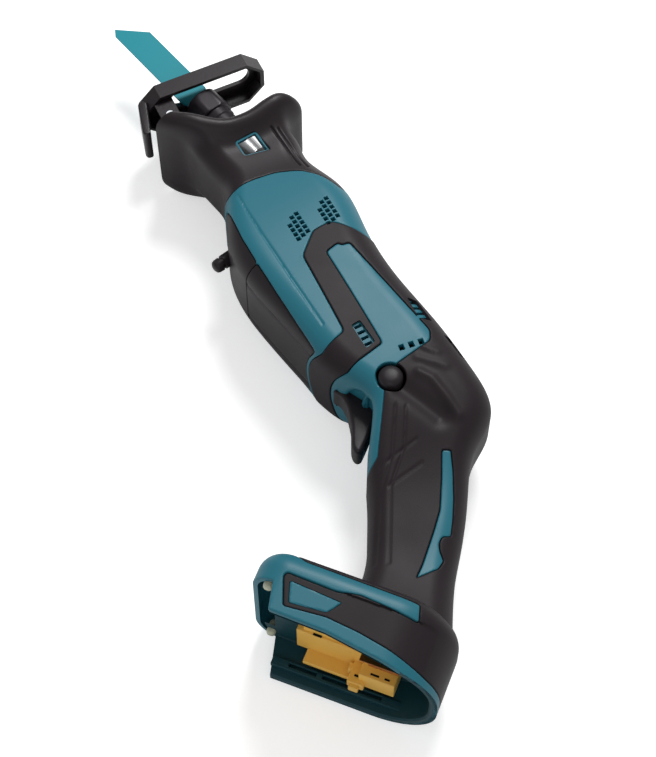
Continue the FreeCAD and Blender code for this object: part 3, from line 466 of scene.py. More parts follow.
# Die-cast aluminium of the gear case, left as cast: a dull, grainy grey
CAST_ALUMINIUM = material("cast aluminium", "#a9abad", 0.5, metal=1.0, grain_mm=0.9, grain=0.2)
# Yellow nylon of the terminal block, lightly glossy
YELLOW_NYLON = material("yellow terminal nylon", "#f6c35c", 0.4, grain_mm=0.5, grain=0.06)
# Bare copper contacts: warm and bright
CONTACT_COPPER = material("copper contact", "#c9803f", 0.35, metal=1.0)
# Cream rubber of the two bumpers: pale and soft-edged
CREAM_RUBBER = material("cream rubber", "#c9cdb4", 0.55)
# Laminations, magnets and carbon inside: dark and rough
DARK_IRON = material("dark iron", "#4c4a48", 0.55, metal=0.8, grain_mm=0.8, grain=0.2)
# Oil-filled sintered bronze of the bushes: brown and porous
BRONZE = material("sintered bronze", "#a47a3f", 0.5, metal=1.0, grain_mm=0.5, grain=0.2)
# Pressed felt of the rod's seal: grey-brown, with no shine
FELT = material("oiled felt", "#8a8478", 0.9, grain_mm=0.6, grain=0.5)


# ---------------------------------------------------------------- the body's loft

RINGS = 290
SIDE_STEPS = {"base": 26, "low": 18, "flank": 58, "high": 20, "crown": 22}


def smooth_stations(count):
    """Station values at evenly spread places along the body, on a smooth cubic through them all."""
    values = np.array(STATIONS, float)
    middles = (values[:, :2] + values[:, 2:4]) / 2
    s = np.concatenate([[0], np.cumsum(np.linalg.norm(np.diff(middles, axis=0), axis=1))])
    h = np.diff(s)
    size = len(s)
    system, right = np.zeros((size, size)), np.zeros((size, values.shape[1]))
    system[0, 0] = system[-1, -1] = 1
    for i in range(1, size - 1):
        system[i, i - 1:i + 2] = h[i - 1], 2 * (h[i - 1] + h[i]), h[i]
        right[i] = 6 * ((values[i + 1] - values[i]) / h[i] - (values[i] - values[i - 1]) / h[i - 1])
    bend = np.linalg.solve(system, right)
    at = np.linspace(0, s[-1], count)
    k = np.clip(np.searchsorted(s, at) - 1, 0, size - 2)
    a, b, w = (s[k + 1] - at)[:, None], (at - s[k])[:, None], h[k][:, None]
    return (bend[k] * a ** 3 / (6 * w) + bend[k + 1] * b ** 3 / (6 * w)
            + (values[k] / w - bend[k] * w / 6) * a + (values[k + 1] / w - bend[k + 1] * w / 6) * b)


def rounded_section(half, tall, low, high):
    """Half a rounded rectangle from its base's middle up to its crown's middle, as across and up."""
    steps = SIDE_STEPS
    spots = []
    for t in np.linspace(0, 1, steps["base"] // 2, endpoint=False):
        spots.append((t * (half - low), 0.0))
    for t in np.linspace(-math.pi / 2, 0, steps["low"], endpoint=False):
        spots.append((half - low + low * math.cos(t), low + low * math.sin(t)))
    for t in np.linspace(0, 1, steps["flank"], endpoint=False):
        spots.append((half, low + t * (tall - high - low)))
    for t in np.linspace(0, math.pi / 2, steps["high"], endpoint=False):
        spots.append((half - high + high * math.cos(t), tall - high + high * math.sin(t)))
    for t in np.linspace(0, 1, steps["crown"] // 2 + 1):
        spots.append(((1 - t) * (half - high), tall))
    return np.array(spots).T


def body_rings(inset=0.0, count=RINGS):
    """Rings of points round the body from front to rear, drawn in by an inset."""
    rings = []
    for low_x, low_y, top_x, top_y, half, low, high in smooth_stations(count):
        rise = np.array([top_x - low_x, top_y - low_y])
        tall = np.linalg.norm(rise)
        rise = rise / tall
        across, up = rounded_section(half - inset, tall - 2 * inset,
                                     max(low - inset, 2), max(high - inset, 2))
        base = np.array([low_x, low_y]) + rise * inset
        left = np.stack([base[0] + rise[0] * up, base[1] + rise[1] * up, across], 1)
        right = left[-2:0:-1] * [1, 1, -1]
        rings.append(np.vstack([left, right]))
    return np.array(rings)[:, ::-1]


# Outlines of the body's zones, seen from the side
BOOT = rounded([(10, -75), (107, -75), (107.5, -50), (109, -27), (114, -11), (122.5, 1), (134, 9.4),
                (149, 13.4), (152, 40), (90, 62), (10, 60)], 5)
SADDLE = rounded([(20, -46), (40, -36), (46, -33), (53, -25), (63, -17.5), (69, -10), (72.5, 3), (72, 16),
                  (73.5, 27), (78, 36), (84, 48), (60, 60), (20, 50)], 6)
WINDOW = rounded([(82, -15), (84, -1), (98, -1), (92, -16)], 1.6)
DARK = rounded([(187, 35), (186, 3), (178.5, -1.6), (165.5, -10.5), (164, -22), (174, -38), (228, -52),
                (229.4, -78), (236.2, -86.7), (236, -105), (300, -150), (307, -175), (425, -175),
                (430, 35)], 3)
LABEL = rounded([(184, -11.5), (183, -16), (180, -17), (180.5, -26), (247, -40), (247.5, -81),
                 (245, -101), (294, -101), (298.5, -97), (296, -85), (279.5, -68), (266, -54),
                 (262, -43), (262, -38), (262.5, -18), (257, -13), (233, -12.6)], 2.2)
INLAY = rounded([(315.2, -54.8), (318.4, -51), (328, -57.6), (340.3, -67.8), (349, -76), (356.2, -83.8),
                 (353.8, -88.1), (355.6, -92.1), (359.3, -94.8), (364.9, -96.8), (367, -102.5),
                 (364, -115.7), (360.1, -108.1), (348.2, -89.2), (340.9, -78.5), (327.7, -65.8)], 1.2)
NOSE = rounded([(106, -95), (109.5, -56), (112, -47.5), (120, -49.6), (140, -56.2), (159.7, -60.6),
                (158.4, -71), (157, -95)], 2.0)
BELLY = rounded([(157, -95), (158.4, -71), (159.7, -60.6), (184, -64.9), (207, -68.3), (226, -70.6),
                 (230, -78), (230, -95)], 1.6)
ARCH = rounded([(249, -135), (250, -80), (254, -71), (260, -66), (266, -65), (271, -68), (280, -77),
                (288, -86), (291, -95), (296, -100), (300, -135)], 5)
LOCK_CENTRE = np.array([266.0, -50.0])
LOWER_GRILLE = rounded([(227.5, -46.5), (228, -40.6), (244, -42.6), (244.2, -49.4)], 1.2)
UPPER_GRILLE = rounded([(232, -9.2), (236, -4.5), (252, -7.2), (247.5, -13.2)], 1.2)
REAR_GRILLE = rounded([(262, -7.6), (265, -3.4), (280, -6), (278, -8.6)], 0.8)
CREASE = [(113, -38), (125, -41.5), (150, -47), (180, -52.5), (205, -56.6), (217, -58.5)]
BOOT_GROOVES = [[(87.5, 8.6), (104, 7.2), (119, 4.6)], [(90.5, 12), (106, 10.6), (122.5, 8)]]
VENT, VENT_PITCH, VENT_LEAN = 2.5, 3.6, math.radians(-12)
VENT_SHIFT = 0.35


def squares(places, lean, half_x, half_y):
    """A field inside any of several small leaning rectangles."""
    c, s = math.cos(lean), math.sin(lean)

    @remembered
    def field(p):
        best = np.full(len(p), -1e9)
        for x, y in places:
            dx, dy = p[:, 0] - x, p[:, 1] - y
            here = np.minimum(half_x - np.abs(dx * c + dy * s), half_y - np.abs(-dx * s + dy * c))
            best = np.maximum(best, here)
        return best
    return field


def slots_across(start, end, count, long, wide):
    """A row of like slots, their middles from start to end."""
    run = np.array(end, float) - start
    return squares(np.linspace(start, end, count), math.atan2(run[1], run[0]), wide / 2, long / 2)


def vent_fields():
    """Two groups of small square vents on the flank, each of leaning rows of five."""
    places = []
    ahead = np.array([math.cos(VENT_LEAN), math.sin(VENT_LEAN)])
    aside = np.array([ahead[1], -ahead[0]])
    for start in ((148.2, -21.8), (150.8, -1.4)):
        for row in range(5):
            for column in range(3 if row else 2):
                places.append(start + ahead * (row + VENT_SHIFT * column) * VENT_PITCH
                              + aside * column * VENT_PITCH)
    return squares(places, VENT_LEAN, VENT / 2, VENT / 2)


def round_hole(centre, radius):
    """A field inside a round hole through the body from side to side."""
    return remembered(lambda p: radius - np.linalg.norm(p[:, :2] - centre, axis=1))


# Half the joint between two zones, and the rounding of the zones' edges beside it
GAP = 0.16
ROUND = 0.7


def body_shell():
    """The body's skin, cut into its zones along their outlines."""
    base = grid_skin(body_rings())
    boot, saddle, window, arch = inside(BOOT), inside(SADDLE), inside(WINDOW), inside(ARCH)
    lock = round_hole(LOCK_CENTRE, 8.75)
    nose, belly = both(inside(NOSE), outside(boot)), both(inside(BELLY), outside(boot))
    cover = either(nose, belly)
    dark = both(inside(DARK), outside(inside(LABEL)), outside(inside(INLAY)), outside(boot), outside(cover))
    grilles = either(inside(LOWER_GRILLE), inside(UPPER_GRILLE), inside(REAR_GRILLE))
    vents = either(vent_fields(), slots_across((256, -33.5), (260, -22.5), 3, 3.4, 3.0))
    holes = either(vents, lock, arch)
    crease = along(CREASE)
    grooves = either(*[along(line) for line in BOOT_GROOVES])

    finer = ((vents, 1.2, 3), (grilles, 1.5, 1), (lock, 1.5, 1), (grooves, 1.6, 2), (window, 1, 1))
    for field, margin, times in finer:
        refine(base, within(field, -margin), times)
    for field in (boot, dark, nose, belly):
        score(base, field, -ROUND - GAP, -0.4, -GAP, GAP, 0.4, ROUND + GAP)
    refine(base, lambda skin: 3 - np.abs(arch(skin)))
    score(base, arch, -1.6, -0.8, -0.3, 0)
    score(base, vents, 0)
    for field in (grilles, lock):
        score(base, field, -0.5, 0)
    score(base, saddle, -3.4, -2.2, -1.2, -0.5, -0.15, 0)
    score(base, window, -1, -0.4, 0)
    score(base, crease, -0.6, -1.4)

    rubber_boot(base, boot, saddle, window, grooves)
    nylon_body(base, boot, dark, cover, holes, grilles, vents, lock, arch, crease)
    elastomer_grip(base, dark, holes, grilles, lock)
    for name, field in (("nose", nose), ("belly", belly)):
        cover_skin(base, name, field)
    grille_slats(base, grilles)
    add_painted_shade_inside(boot, arch, lock)


def rubber_boot(base, boot, saddle, window, grooves):
    """The thick boot over the nose, open at the front in a saddle with rolled edges."""
    rubber = take(base, both(within(boot, GAP), outside(saddle), outside(window)))
    rim = edge_round(-saddle(rubber), 3.4)
    behind = -saddle(rubber)
    roll = (1.2 + 1.6 * (1 - rubber.n[:, 2] ** 2)) * np.exp(-((behind - 5.5) / 4.5) ** 2)
    roll = roll - 6.5 * np.exp(-((behind - 17) / 7.5) ** 2) * (1 - 0.8 * rubber.n[:, 2] ** 2)
    edge = edge_round(boot(rubber) - GAP, ROUND) + edge_round(-window(rubber), 0.8)
    cut_in = 1.1 * np.exp(-(grooves(rubber) / 0.7) ** 2) * (np.abs(rubber.v[:, 2]) > 12)
    push(rubber, -0.15 - np.clip(rim, 0, 2.6) - edge - cut_in + roll)
    piece("rubber_boot", thick(rubber, 2.9), BOOT_RUBBER, "housing", ["front_boot"])


def nylon_body(base, boot, dark, cover, holes, grilles, vents, lock, arch, crease):
    """The teal shell, with its vents, the crease along its flank and the guard round the trigger."""
    body = take(base, both(outside(boot, GAP), outside(dark, GAP), outside(cover, GAP), outside(holes),
                           outside(grilles)))
    edge = sum(edge_round(-f(body) - GAP, ROUND) for f in (boot, dark, cover))
    lip = edge_round(-vents(body), 0.3) + edge_round(-lock(body), 0.6)
    step = 0.55 * np.exp(-(crease(body) / 0.8) ** 2)
    push(body, -edge - lip - step - edge_round(-arch(body), 1.6))
    at_guard = within(arch, -0.05)

    def across(p, n, share):
        """From the guard's edge straight in towards the middle plane, gathering a little behind the edge."""
        q = p - n * 1.2 * math.sin(min(share * 4, 1) * math.pi / 2)
        q[:, 2] = p[:, 2] * (1 - share) + np.sign(p[:, 2]) * 6.5 * share
        return q
    walls(body, straight_in(3.2), (0.5, 1.0), only=outside(at_guard))
    walls(body, across, (0.08, 0.25, 0.5, 0.75, 1.0), only=both(at_guard, on_surface(body)))
    piece("nylon_body", body, TEAL_NYLON, "housing", ["housing_left", "housing_right"])


def on_surface(skin):
    """Positive on the vertices that a skin had before its walls."""
    count = skin.count_before_walls
    return lambda s: np.where(np.arange(len(s.v)) < count, 1.0, -1.0)


def elastomer_grip(base, dark, holes, grilles, lock):
    """The soft overmould, a little proud of the nylon."""
    soft = take(base, both(within(dark, GAP), outside(holes), outside(grilles)))
    edge = edge_round(dark(soft) - GAP, ROUND) + edge_round(-lock(soft), 0.6)
    push(soft, 0.45 - edge + palm_relief(soft.v))
    walls(soft, straight_in(2.5))
    piece("elastomer_grip", soft, BLACK_ELASTOMER, "housing", ["grip_left", "grip_right"])


def cover_skin(base, name, field):
    """A cover under the nose or belly, set in below the body's skirt."""
    layer = take(base, within(field, GAP))
    fold = 0.8 * np.exp(-((np.abs(layer.v[:, 2]) - 17) / 1.2) ** 2) if name == "belly" else 0.0
    push(layer, -(1.0 + edge_round(field(layer) - GAP, ROUND) + fold))
    walls(layer, straight_in(2.0))
    piece(f"{name}_cover_skin", layer, BLACK_NYLON, "housing", [f"{name}_cover"])


def grille_slats(base, grilles):
    """Nylon slats a little below the skin, with slots between."""
    patch = push(take(base, within(grilles, -0.6)), -1.3)
    slots = either(slots_across((230, -43.6), (242, -46), 4, 4.6, 2.0),
                   slots_across((235.5, -7.6), (248, -9.8), 4, 5.6, 2.0),
                   slots_across((265.5, -6), (277.5, -7.2), 4, 2.2, 1.8))
    refine(patch, within(slots, -1.2))
    score(patch, slots, 0)
    slats = take(patch, outside(slots))
    walls(slats, straight_in(3.0))
    piece("grille_slats", slats, TEAL_NYLON, "housing")


def add_painted_shade_inside(boot, arch, lock):
    """A near-black skin inside the shell: painted shade that every opening shows."""
    core = grid_skin(body_rings(inset=5.0, count=120))
    score(core, boot, -4)
    core = take(core, both(outside(boot, 4), outside(arch, 2), outside(lock, 2)))
    piece("painted_shade_inside", core, PAINTED_SHADE_BLACK, "housing")


def palm_relief(p):
    """The thumb's hollow and the ridge over it behind the lock button, and the grip's flutes and ribs."""
    def line(points, wide):
        return np.exp(-(segments_distance(np.array(points, float), p[:, :2]) / wide) ** 2)
    ridge = 1.7 * line([(274, -36), (281, -33), (293, -33.5), (306, -35)], 3.0)
    hollow = -3.2 * line([(275, -49), (287, -46), (300, -43)], 5.5)
    flutes = -0.55 * (line([(280.6, -59), (299.6, -77.4), (315, -99.2), (343.3, -126.4)], 0.9)
                      + line([(284.4, -54.5), (301, -69.9), (313.1, -90), (347.9, -120.8)], 0.9)
                      + line([(301.1, -87.3), (302, -62)], 0.8) + line([(312.6, -90.7), (314, -68)], 0.8))
    ribs = 0.7 * (line([(266, -31), (272, -27), (280, -21.5)], 2.2) + line([(263.5, -24), (271, -19.5)], 1.6))
    return (ridge + hollow + flutes + ribs) * (np.abs(p[:, 2]) > 8)


# ---------------------------------------------------------------- battery foot

# Seen from the side in the foot's own frame: the nylon's chin, lower band and upper strip, the emblem's
# raised patch, and what is cut from the walls at the chin and along the near side
STRIP = rounded([(-8, 14), (-8, -60), (125, -60), (125, -39.5), (104, -39.2), (94, -37.6), (82.7, -35.2),
                 (64, -31.8), (45.5, -30), (22.5, -32.2), (16.3, -16.3), (17.5, -13.8), (45, -14.6),
                 (58, -12.4), (91, -14.6), (88, -4.6), (24, -3.6), (16, 0.5), (16, 14)], 1.6)
PATCH = rounded([(20.5, -17.5), (24.5, -29.5), (45, -27.5), (50.5, -19.5)], 1.2)
CHIN_CUT = np.array([(-10, -20.5), (12, -20.5), (22, -60), (-10, -60)], float)
NEAR_CUT = np.array([(-10, -36.4), (48, -37.4), (92, -43.6), (92, -60), (-10, -60)], float)
REAR_ROUND, FRONT_ROUND, TOP_ROUND, TOP_REACH = 36.0, 17.0, 12.0, 22


def foot_plan(inset):
    """The foot's plan, drawn in by an inset, as along and across, from the chin's middle to the rear."""
    half, long = FOOT_HALF - inset, FOOT_LONG - inset
    low, high = max(FRONT_ROUND - inset, 2), max(REAR_ROUND - inset, 2)
    left = []
    for t in np.linspace(0, 1, 12, endpoint=False):
        left.append((inset, t * (half - low)))
    for t in np.linspace(0, math.pi / 2, 14, endpoint=False):
        left.append((inset + low - low * math.cos(t), half - low + low * math.sin(t)))
    for t in np.linspace(0, 1, 50, endpoint=False):
        left.append((inset + low + t * (long - high - inset - low), half))
    for t in np.linspace(0, math.pi / 2, 34, endpoint=False):
        left.append((long - high + high * math.sin(t), half - high + high * math.cos(t)))
    for t in np.linspace(0, 1, 4):
        left.append((long, (1 - t) * (half - high)))
    left = np.array(left)
    return np.vstack([left, left[-2:0:-1] * [1, -1]])


def foot_ring(inset, height):
    """The foot's plan as a ring at a height in the foot's own frame."""
    plan = foot_plan(inset)
    return np.stack([plan[:, 0], np.full(len(plan), height), plan[:, 1]], 1)


def foot_block():
    """The foot's outer skin in its own frame: side, rounded top edge and top."""
    rings = []
    for height in np.linspace(-FOOT_DEEP, -TOP_ROUND, 28, endpoint=False):
        rings.append(foot_ring(0.0, height))
    for t in np.linspace(0, math.pi / 2, 14):
        rings.append(foot_ring(TOP_ROUND - TOP_ROUND * math.cos(t), -TOP_ROUND + TOP_ROUND * math.sin(t)))
    for t in np.linspace(0.06, 1, 14):
        rings.append(foot_ring(TOP_ROUND + t * TOP_REACH, 0.0))
    return grid_skin(np.array(rings))


def battery_foot():
    """The foot's nylon frame, the overmould round it, its raised patch, and the battery's space."""
    base = foot_block()
    light, patch = inside(STRIP), inside(PATCH)
    open_below = either(inside(CHIN_CUT), both(inside(NEAR_CUT), lambda skin: skin.v[:, 2]))
    refine(base, lambda skin: 1.5 - np.abs(light(skin)))
    score(base, light, -ROUND - GAP, -0.4, -GAP, GAP, 0.4, ROUND + GAP)
    score(base, patch, -ROUND - GAP, -GAP, GAP, ROUND + GAP)
    score(base, open_below, -0.8, -0.3, 0)

    shell = take(base, both(outside(open_below), within(light, GAP)))
    push(shell, -edge_round(light(shell) - GAP, ROUND) - edge_round(-open_below(shell), 0.8))
    band = take(base, both(outside(light, GAP), outside(patch, GAP)))
    beside = (band.v[:, 1] < -14) & (band.v[:, 0] < 100)
    sunk = np.where(beside, 0.9, -0.3) * np.clip((104 - band.v[:, 0]) / 12, 0, 1)
    push(band, -sunk - edge_round(-light(band) - GAP, ROUND))
    badge = take(base, within(patch, GAP))
    push(badge, -0.6 - edge_round(patch(badge) - GAP, 0.5))
    for skin in (shell, band, badge):
        walls(skin, straight_in(2.2))

    nylon = [in_foot(shell), in_foot(badge)]
    piece("nylon_foot", nylon, [TEAL_NYLON, TEAL_NYLON], "housing")
    piece("foot_overmould", in_foot(band), BLACK_ELASTOMER, "housing")
    # The foot's inside takes the darker teal, which is painted shade.
    piece("foot_cavity", in_foot(foot_cavity(open_below)), TEAL_PAINTED_SHADE, "housing")


def foot_cavity(open_below):
    """The battery's space: lower rim, inner walls and roof."""
    rings = [foot_ring(0.0, -FOOT_DEEP), foot_ring(1.0, -FOOT_DEEP),
             foot_ring(FOOT_WALL - 1.0, -FOOT_DEEP), foot_ring(FOOT_WALL, -FOOT_DEEP + 1)]
    for height in np.linspace(-FOOT_DEEP + 2, -FOOT_ROOF - 0.6, 14):
        rings.append(foot_ring(FOOT_WALL, height))
    for inset in (FOOT_WALL + 0.6, 12, 20, 28, 34):
        rings.append(foot_ring(inset, -FOOT_ROOF))
    skin = grid_skin(np.array(rings)[:, ::-1])
    score(skin, open_below, 0)
    return take(skin, outside(open_below))


# ---------------------------------------------------------------- small parts

def turned_skin(base, axis, profile, steps=48):
    """A round part: its profile gives places along an axis, "y" or "z", and the radius at each."""
    angle = np.linspace(0, 2 * math.pi, steps, endpoint=False)
    rings = []
    for along_axis, radius in profile:
        ring = np.zeros((steps, 3))
        ring[:, 0] = radius * np.cos(angle)
        ring[:, 1 if axis == "z" else 2] = radius * np.sin(angle) * (1 if axis == "z" else -1)
        ring[:, 2 if axis == "z" else 1] = along_axis
        rings.append(ring + base)
    return grid_skin(np.array(rings))


def slab(outline, low, high, edge):
    """A flat part cut to an outline, its rims rounded and its two faces closed."""
    around = np.roll(outline, -1, 0) - np.roll(outline, 1, 0)
    across = unit(np.stack([around[:, 1], -around[:, 0]], 1))
    if np.sum(outline[:, 0] * np.roll(outline[:, 1], -1) - outline[:, 1] * np.roll(outline[:, 0], -1)) < 0:
        outline, across = outline[::-1], -across[::-1]
    rings = []
    for z, way in ((low, 1), (high, -1)):
        turn = np.linspace(0, math.pi / 2, 7)[::way]
        for t in turn:
            inset = edge * (1 - math.sin(t))
            rings.append(np.column_stack([outline - across * inset,
                                          np.full(len(outline), z + way * edge * (1 - math.cos(t)))]))
    skin = grid_skin(np.array(rings))
    faces = np.array(tessellate_polygon([[Vector((*q, 0)) for q in rings[0][:, :2]]]))
    a, b, c = (rings[0][faces[:, k], :2] for k in range(3))
    flip = ((b - a)[:, 0] * (c - a)[:, 1] - (b - a)[:, 1] * (c - a)[:, 0]) < 0
    faces[flip] = faces[flip][:, ::-1]
    last = len(skin.v) - len(outline)
    skin.t = np.vstack([skin.t, faces[:, ::-1], faces + last])
    return skin


def moulded_box(low, high, edge=0.8):
    """A box between two corners with its edges rounded."""
    (x0, y0, z0), (x1, y1, z1) = low, high
    return slab(rounded([(x0, y0), (x1, y0), (x1, y1), (x0, y1)], edge), z0, z1, edge)


def in_mm(name):
    """The lowest and highest corners of a CAD node, in the side frame."""
    return [(np.array(corner) - ORIGIN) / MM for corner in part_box(name)]


PADDLE = rounded([(241, -72), (247.5, -70), (255, -72), (265.2, -77.6), (275.5, -86.2), (280, -87.6),
                  (282.5, -85), (277.2, -75), (271.5, -66), (264, -57), (250, -57), (243, -66)], 2.5)


def trigger_paddle():
    """The trigger, as wide as its solid, hooked forward at its tip."""
    low, high = in_mm("trigger")
    half = (high[2] - low[2]) / 2
    piece("trigger_paddle", slab(PADDLE, -half, half, 2.4), BLACK_NYLON, "trigger_lever", ["trigger"])


def lock_button_caps():
    """The lock-off bar that slides across, with a domed cap at each end."""
    low, high = in_mm("lock_off_button")
    centre = (low[:2] + high[:2]) / 2
    dome = [(0, 0.0), (0.15, 3.2), (0.7, 5.2), (1.7, 6.5), (3.0, 7.0), (7.5, 7.1), (8.0, 4.0)]
    profile = [(low[2] + h, r) for h, r in dome] + [(high[2] - h, r) for h, r in reversed(dome)]
    piece("lock_button_caps", turned_skin([*centre, 0], "z", profile), BLACK_NYLON, "lock",
          ["lock_off_button"])


def release_knob():
    """The shoe's release: a knob under the nose with a groove round its neck."""
    low, high = in_mm("release_button")
    centre = (low + high) / 2
    end = low[1]
    profile = [(end, 0.0), (end + 0.2, 2.2), (end + 1.0, 3.5), (end + 2.4, 4.1), (end + 5.2, 4.2),
               (end + 5.6, 3.5), (end + 6.6, 3.5), (end + 7.0, 4.4), (high[1] - 1, 4.4), (high[1], 2.8)]
    piece("release_knob", turned_skin([centre[0], 0, centre[2]], "y", profile), BLACK_NYLON, "release",
          ["release_button"])


def nose_cover_pin():
    """The two ends of the pin that holds the nose cover, set into its flanks."""
    pins = []
    for side in (1, -1):
        profile = [(side * 13.0, 0.01), (side * 16.6, 1.7), (side * 17.2, 1.4), (side * 17.4, 0.01)]
        pins.append(turned_skin([151.7, -63.6, 0], "z", profile[::side]))
    piece("nose_cover_pin", pins, [ZINC_STEEL, ZINC_STEEL], "housing")


SLEEVE_ROUND, SLEEVE_FLAT = 11.2, 11.3
SKID = rounded([(8.5, -32.5), (11.5, -30.5), (32.5, -43), (31.5, -46.2), (29, -46.8), (9.5, -36)], 1.2)


def clamp_sleeve():
    """The stepped sleeve that turns to free the blade; its thickest ring has six flats."""
    profile = [(25.5, 7.9), (25.5, 10.4), (26.4, 11.6), (31.0, 12.4), (40.5, 12.4), (41.4, 11.8),
               (42.0, 10.2), (46.6, 10.2), (47.6, 9.6), (52.5, 9.6), (53, 9.2), (53, 7.9)]
    sleeve = turned_skin([0, 0, 0], "z", profile, 72)
    turned = sleeve.v.copy()
    angle = np.arctan2(turned[:, 1], turned[:, 0])
    far = np.hypot(turned[:, 0], turned[:, 1])
    flat = SLEEVE_FLAT / np.cos((angle % (math.pi / 3)) - math.pi / 6)
    far = np.where(far > SLEEVE_ROUND, np.minimum(far, flat), far)
    sleeve.v = np.stack([turned[:, 2], far * np.cos(angle), far * np.sin(angle)], 1)
    sleeve.n = unit(np.stack([0 * far, np.cos(angle), np.sin(angle)], 1))
    piece("clamp_sleeve_turned", sleeve, BLACKED_STEEL, "clamp", ["clamp_sleeve"], sharp=25)


def shoe_skid():
    """The shoe's bent-back lower edge."""
    piece("shoe_skid", slab(SKID, -13, 12, 1.0), COATED_STEEL, "shoe")


# The terminal block in the foot's own frame, as the lowest and highest corners of its boxes: a front ledge,
# a plate across the roof, a thin side, the post and its arms, the tall rear, its step, and the post's tip
TERMINAL_BOXES = [
    ((26.5, -25.5, -26), (64, -20.5, -4)),
    ((30, -24, -30), (62, -21, 26)),
    ((33, -33.5, -28), (62, -24, -25)),
    ((60.5, -38.5, -22.5), (70, -21, -16)),
    ((58.5, -31.5, -23), (72, -27, -17)),
    ((66, -35.4, -24), (86.5, -21, -8.8)),
    ((60, -26, -16), (84, -21, 10)),
    ((62.2, -41.0, -22), (67.8, -36, -17)),
]
# Near-black boxes on its faces, painted shade for the slots over its contacts
TERMINAL_SLOT_PAINTED_SHADE = [
    ((72, -33.4, -9.2), (77, -32.2, -8.6)),
    ((72, -28.8, -9.2), (77, -27.6, -8.6)),
    ((80, -33.4, -9.2), (83, -32.2, -8.6)),
    ((63.4, -34.6, -15.9), (66.6, -33.4, -15.4)),
    ((36, -25.4, -3.8), (41, -22.6, -3.4)),
]


def terminal_block():
    """The yellow block over the battery's contacts."""
    block = [in_foot(moulded_box(low, high)) for low, high in TERMINAL_BOXES]
    slots = [in_foot(moulded_box(low, high, 0.15)) for low, high in TERMINAL_SLOT_PAINTED_SHADE]
    # The slot boxes take the near-black painted shade.
    finishes = [YELLOW_NYLON] * len(block) + [PAINTED_SHADE_BLACK] * len(slots)
    piece("terminal_housing", block + slots, finishes, "housing", ["terminal_block"])


def chin_pads():
    """Two rubber pads inside the chin, one at each side."""
    outline = rounded([(-2.6, -4.6), (2.6, -4.6), (2.6, 4.6), (-2.6, 4.6)], 2.4) + np.array([9.6, -19.0])
    pads = [in_foot(slab(outline, side * 31 - 2.6, side * 31 + 2.6, 1.8)) for side in (1, -1)]
    piece("chin_pads", pads, [CREAM_RUBBER] * len(pads), "housing", ["bumper_pads"])


# The battery's rail on the foot's right wall: two runs, and the webs between them, as along and up
RAIL_BARS = [((16, -38.5), (92, -36.6)), ((16, -34.6), (92, -33.4)), ((16, -37), (26, -33.6)),
             ((42, -37), (45.5, -33.6)), ((60, -37), (64, -33.6)), ((80, -37), (92, -33.6))]
RAIL_OUTER, RAIL_INNER = -35.2, -31.5


def foot_rails():
    """The rail that the battery's right edge slides along."""
    rails = [in_foot(moulded_box((*low, RAIL_OUTER), (*high, RAIL_INNER), 0.5)) for low, high in RAIL_BARS]
    # The rails take the darker teal, which is painted shade.
    piece("foot_rails", rails, [TEAL_PAINTED_SHADE] * len(rails), "housing")


def window_frame():
    """The window's teal frame under the boot."""
    base = grid_skin(body_rings())
    window = inside(WINDOW)
    refine(base, within(window, -3), 2)
    score(base, window, -1.2, 0, 0.9)
    rim = take(base, both(within(window, -1.2), outside(window, -0.9)))
    push(rim, -2.2)
    walls(rim, straight_in(5))
    piece("window_frame", rim, TEAL_NYLON, "housing")


# ---------------------------------------------------------------- the scene

# Each softbox: its place in metres, its width and its power
SOFTBOXES = {"key_softbox": ((-0.45, 0.75, 1.25), 0.55, 15), "fill_softbox": ((0.9, -0.9, 1.1), 1.2, 3)}
ROOM_LIGHT = 0.36
FLOOR_HALF, FLOOR_BELOW, FLOOR_LIFT = 3.0, 0.0002, 0.5


def room_and_lights():
    """An even white room with a small key light and a broad, weak fill."""
    world = bpy.data.worlds.new("soft room")
    bpy.context.scene.world = world
    world.use_nodes = True
    world.node_tree.nodes["Background"].inputs["Color"].default_value = (1, 1, 1, 1)
    world.node_tree.nodes["Background"].inputs["Strength"].default_value = ROOM_LIGHT
    for name, (place, size, power) in SOFTBOXES.items():
        light = bpy.data.lights.new(name, "AREA")
        light.shape, light.size, light.energy = "DISK", size, power
        lamp = bpy.data.objects.new(name, light)
        lamp.location = place
        lamp.rotation_euler = (-Vector(place)).to_track_quat("-Z", "Y").to_euler()
        bpy.context.scene.collection.objects.link(lamp)


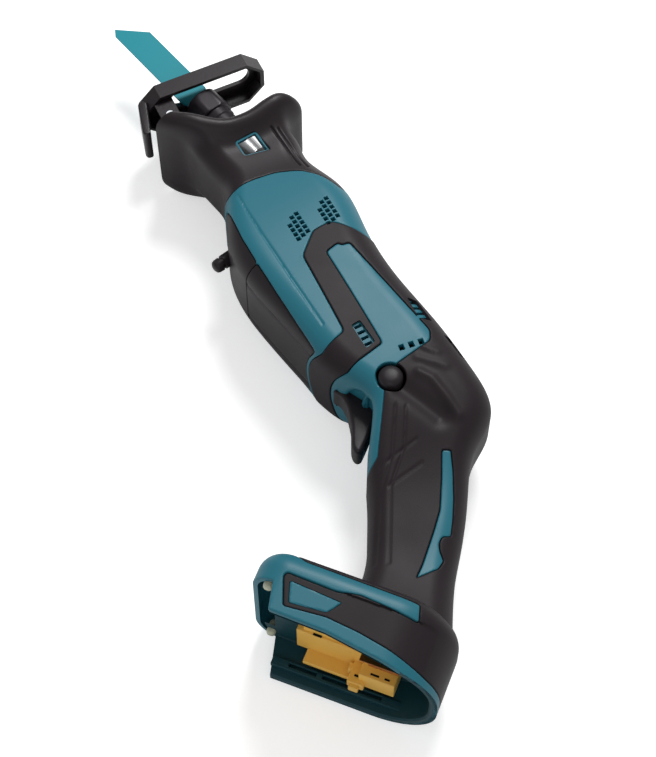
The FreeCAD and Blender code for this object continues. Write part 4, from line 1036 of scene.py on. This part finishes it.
def paper_floor():
    """White paper that the camera sees a little brighter than it lights the saw."""
    half = FLOOR_HALF
    mesh = bpy.data.meshes.new("floor")
    corners = [(-half, -half, 0), (half, -half, 0), (half, half, 0), (-half, half, 0)]
    mesh.from_pydata(corners, [], [(0, 1, 2, 3)])
    floor = bpy.data.objects.new("floor", mesh)
    floor.location.z = -FLOOR_BELOW
    bpy.context.scene.collection.objects.link(floor)
    paper = bpy.data.materials.new("white paper floor")
    paper.use_nodes = True
    tree = paper.node_tree
    tree.nodes.clear()
    seen = add_node(tree, "ShaderNodeLightPath").outputs["Is Camera Ray"]
    lift = add_node(tree, "ShaderNodeMath", {"operation": "MULTIPLY", 1: FLOOR_LIFT}, Value=seen)
    diffuse = add_node(tree, "ShaderNodeBsdfDiffuse", {"Color": colour("#fbfbfb")})
    glow = add_node(tree, "ShaderNodeEmission", Strength=lift.outputs["Value"])
    added = add_node(tree, "ShaderNodeAddShader")
    tree.links.new(diffuse.outputs["BSDF"], added.inputs[0])
    tree.links.new(glow.outputs["Emission"], added.inputs[1])
    add_node(tree, "ShaderNodeOutputMaterial", Surface=added.outputs["Shader"])
    mesh.materials.append(paper)


def camera():
    """A camera high over the saw's left side, turned so that the blade points up and to the left."""
    look = np.array([230.4, -65.8, 0.0]) * MM + ORIGIN
    distance, elevation, azimuth = 1.092, math.radians(60), math.radians(-39.6)
    away = Vector((math.cos(elevation) * math.cos(azimuth), math.cos(elevation) * math.sin(azimuth),
                   math.sin(elevation)))
    data = bpy.data.cameras.new("camera")
    data.sensor_width = 36.0
    data.lens = 90.36
    made = bpy.data.objects.new("camera", data)
    made.location = Vector(look) + away * distance
    made.rotation_euler = (-away).to_track_quat("-Z", "Y").to_euler()
    bpy.context.scene.collection.objects.link(made)
    bpy.context.scene.camera = made


def cad_materials():
    """Finishes for the CAD solids that show as they are."""
    finishes = {
        GROUND_STEEL: ["blade_rod", "blade_pin", "crank_gear", "crank_shaft", "crank_pin", "crank_roller",
                       "crank_bearing", "motor_pinion", "motor_shaft", "motor_bearings", "release_spring",
                       "trigger_spring", "retaining_ring"],
        ZINC_STEEL: ["shoe_bar", "shoe_pivot_pin", "motor_can", "housing_screws"],
        CAST_ALUMINIUM: ["gear_case"], BRONZE: ["rod_bushes"], FELT: ["felt_seal"],
        DARK_IRON: ["armature_core", "motor_magnets", "carbon_brushes"],
        CONTACT_COPPER: ["commutator", "battery_contacts"],
        BLACK_NYLON: ["cooling_fan", "brush_holder", "switch_body"],
        COATED_STEEL: ["shoe_plate"], BLADE_ENAMEL: ["saw_blade"],
    }
    for finish, names in finishes.items():
        for name in names:
            mesh = frame["nodes"][name].data
            mesh.materials.clear()
            mesh.materials.append(finish)


body_shell()
battery_foot()
trigger_paddle()
lock_button_caps()
release_knob()
nose_cover_pin()
clamp_sleeve()
shoe_skid()
terminal_block()
chin_pads()
foot_rails()
window_frame()
cad_materials()
room_and_lights()
paper_floor()
camera()
bpy.context.scene.view_settings.view_transform = "Standard"
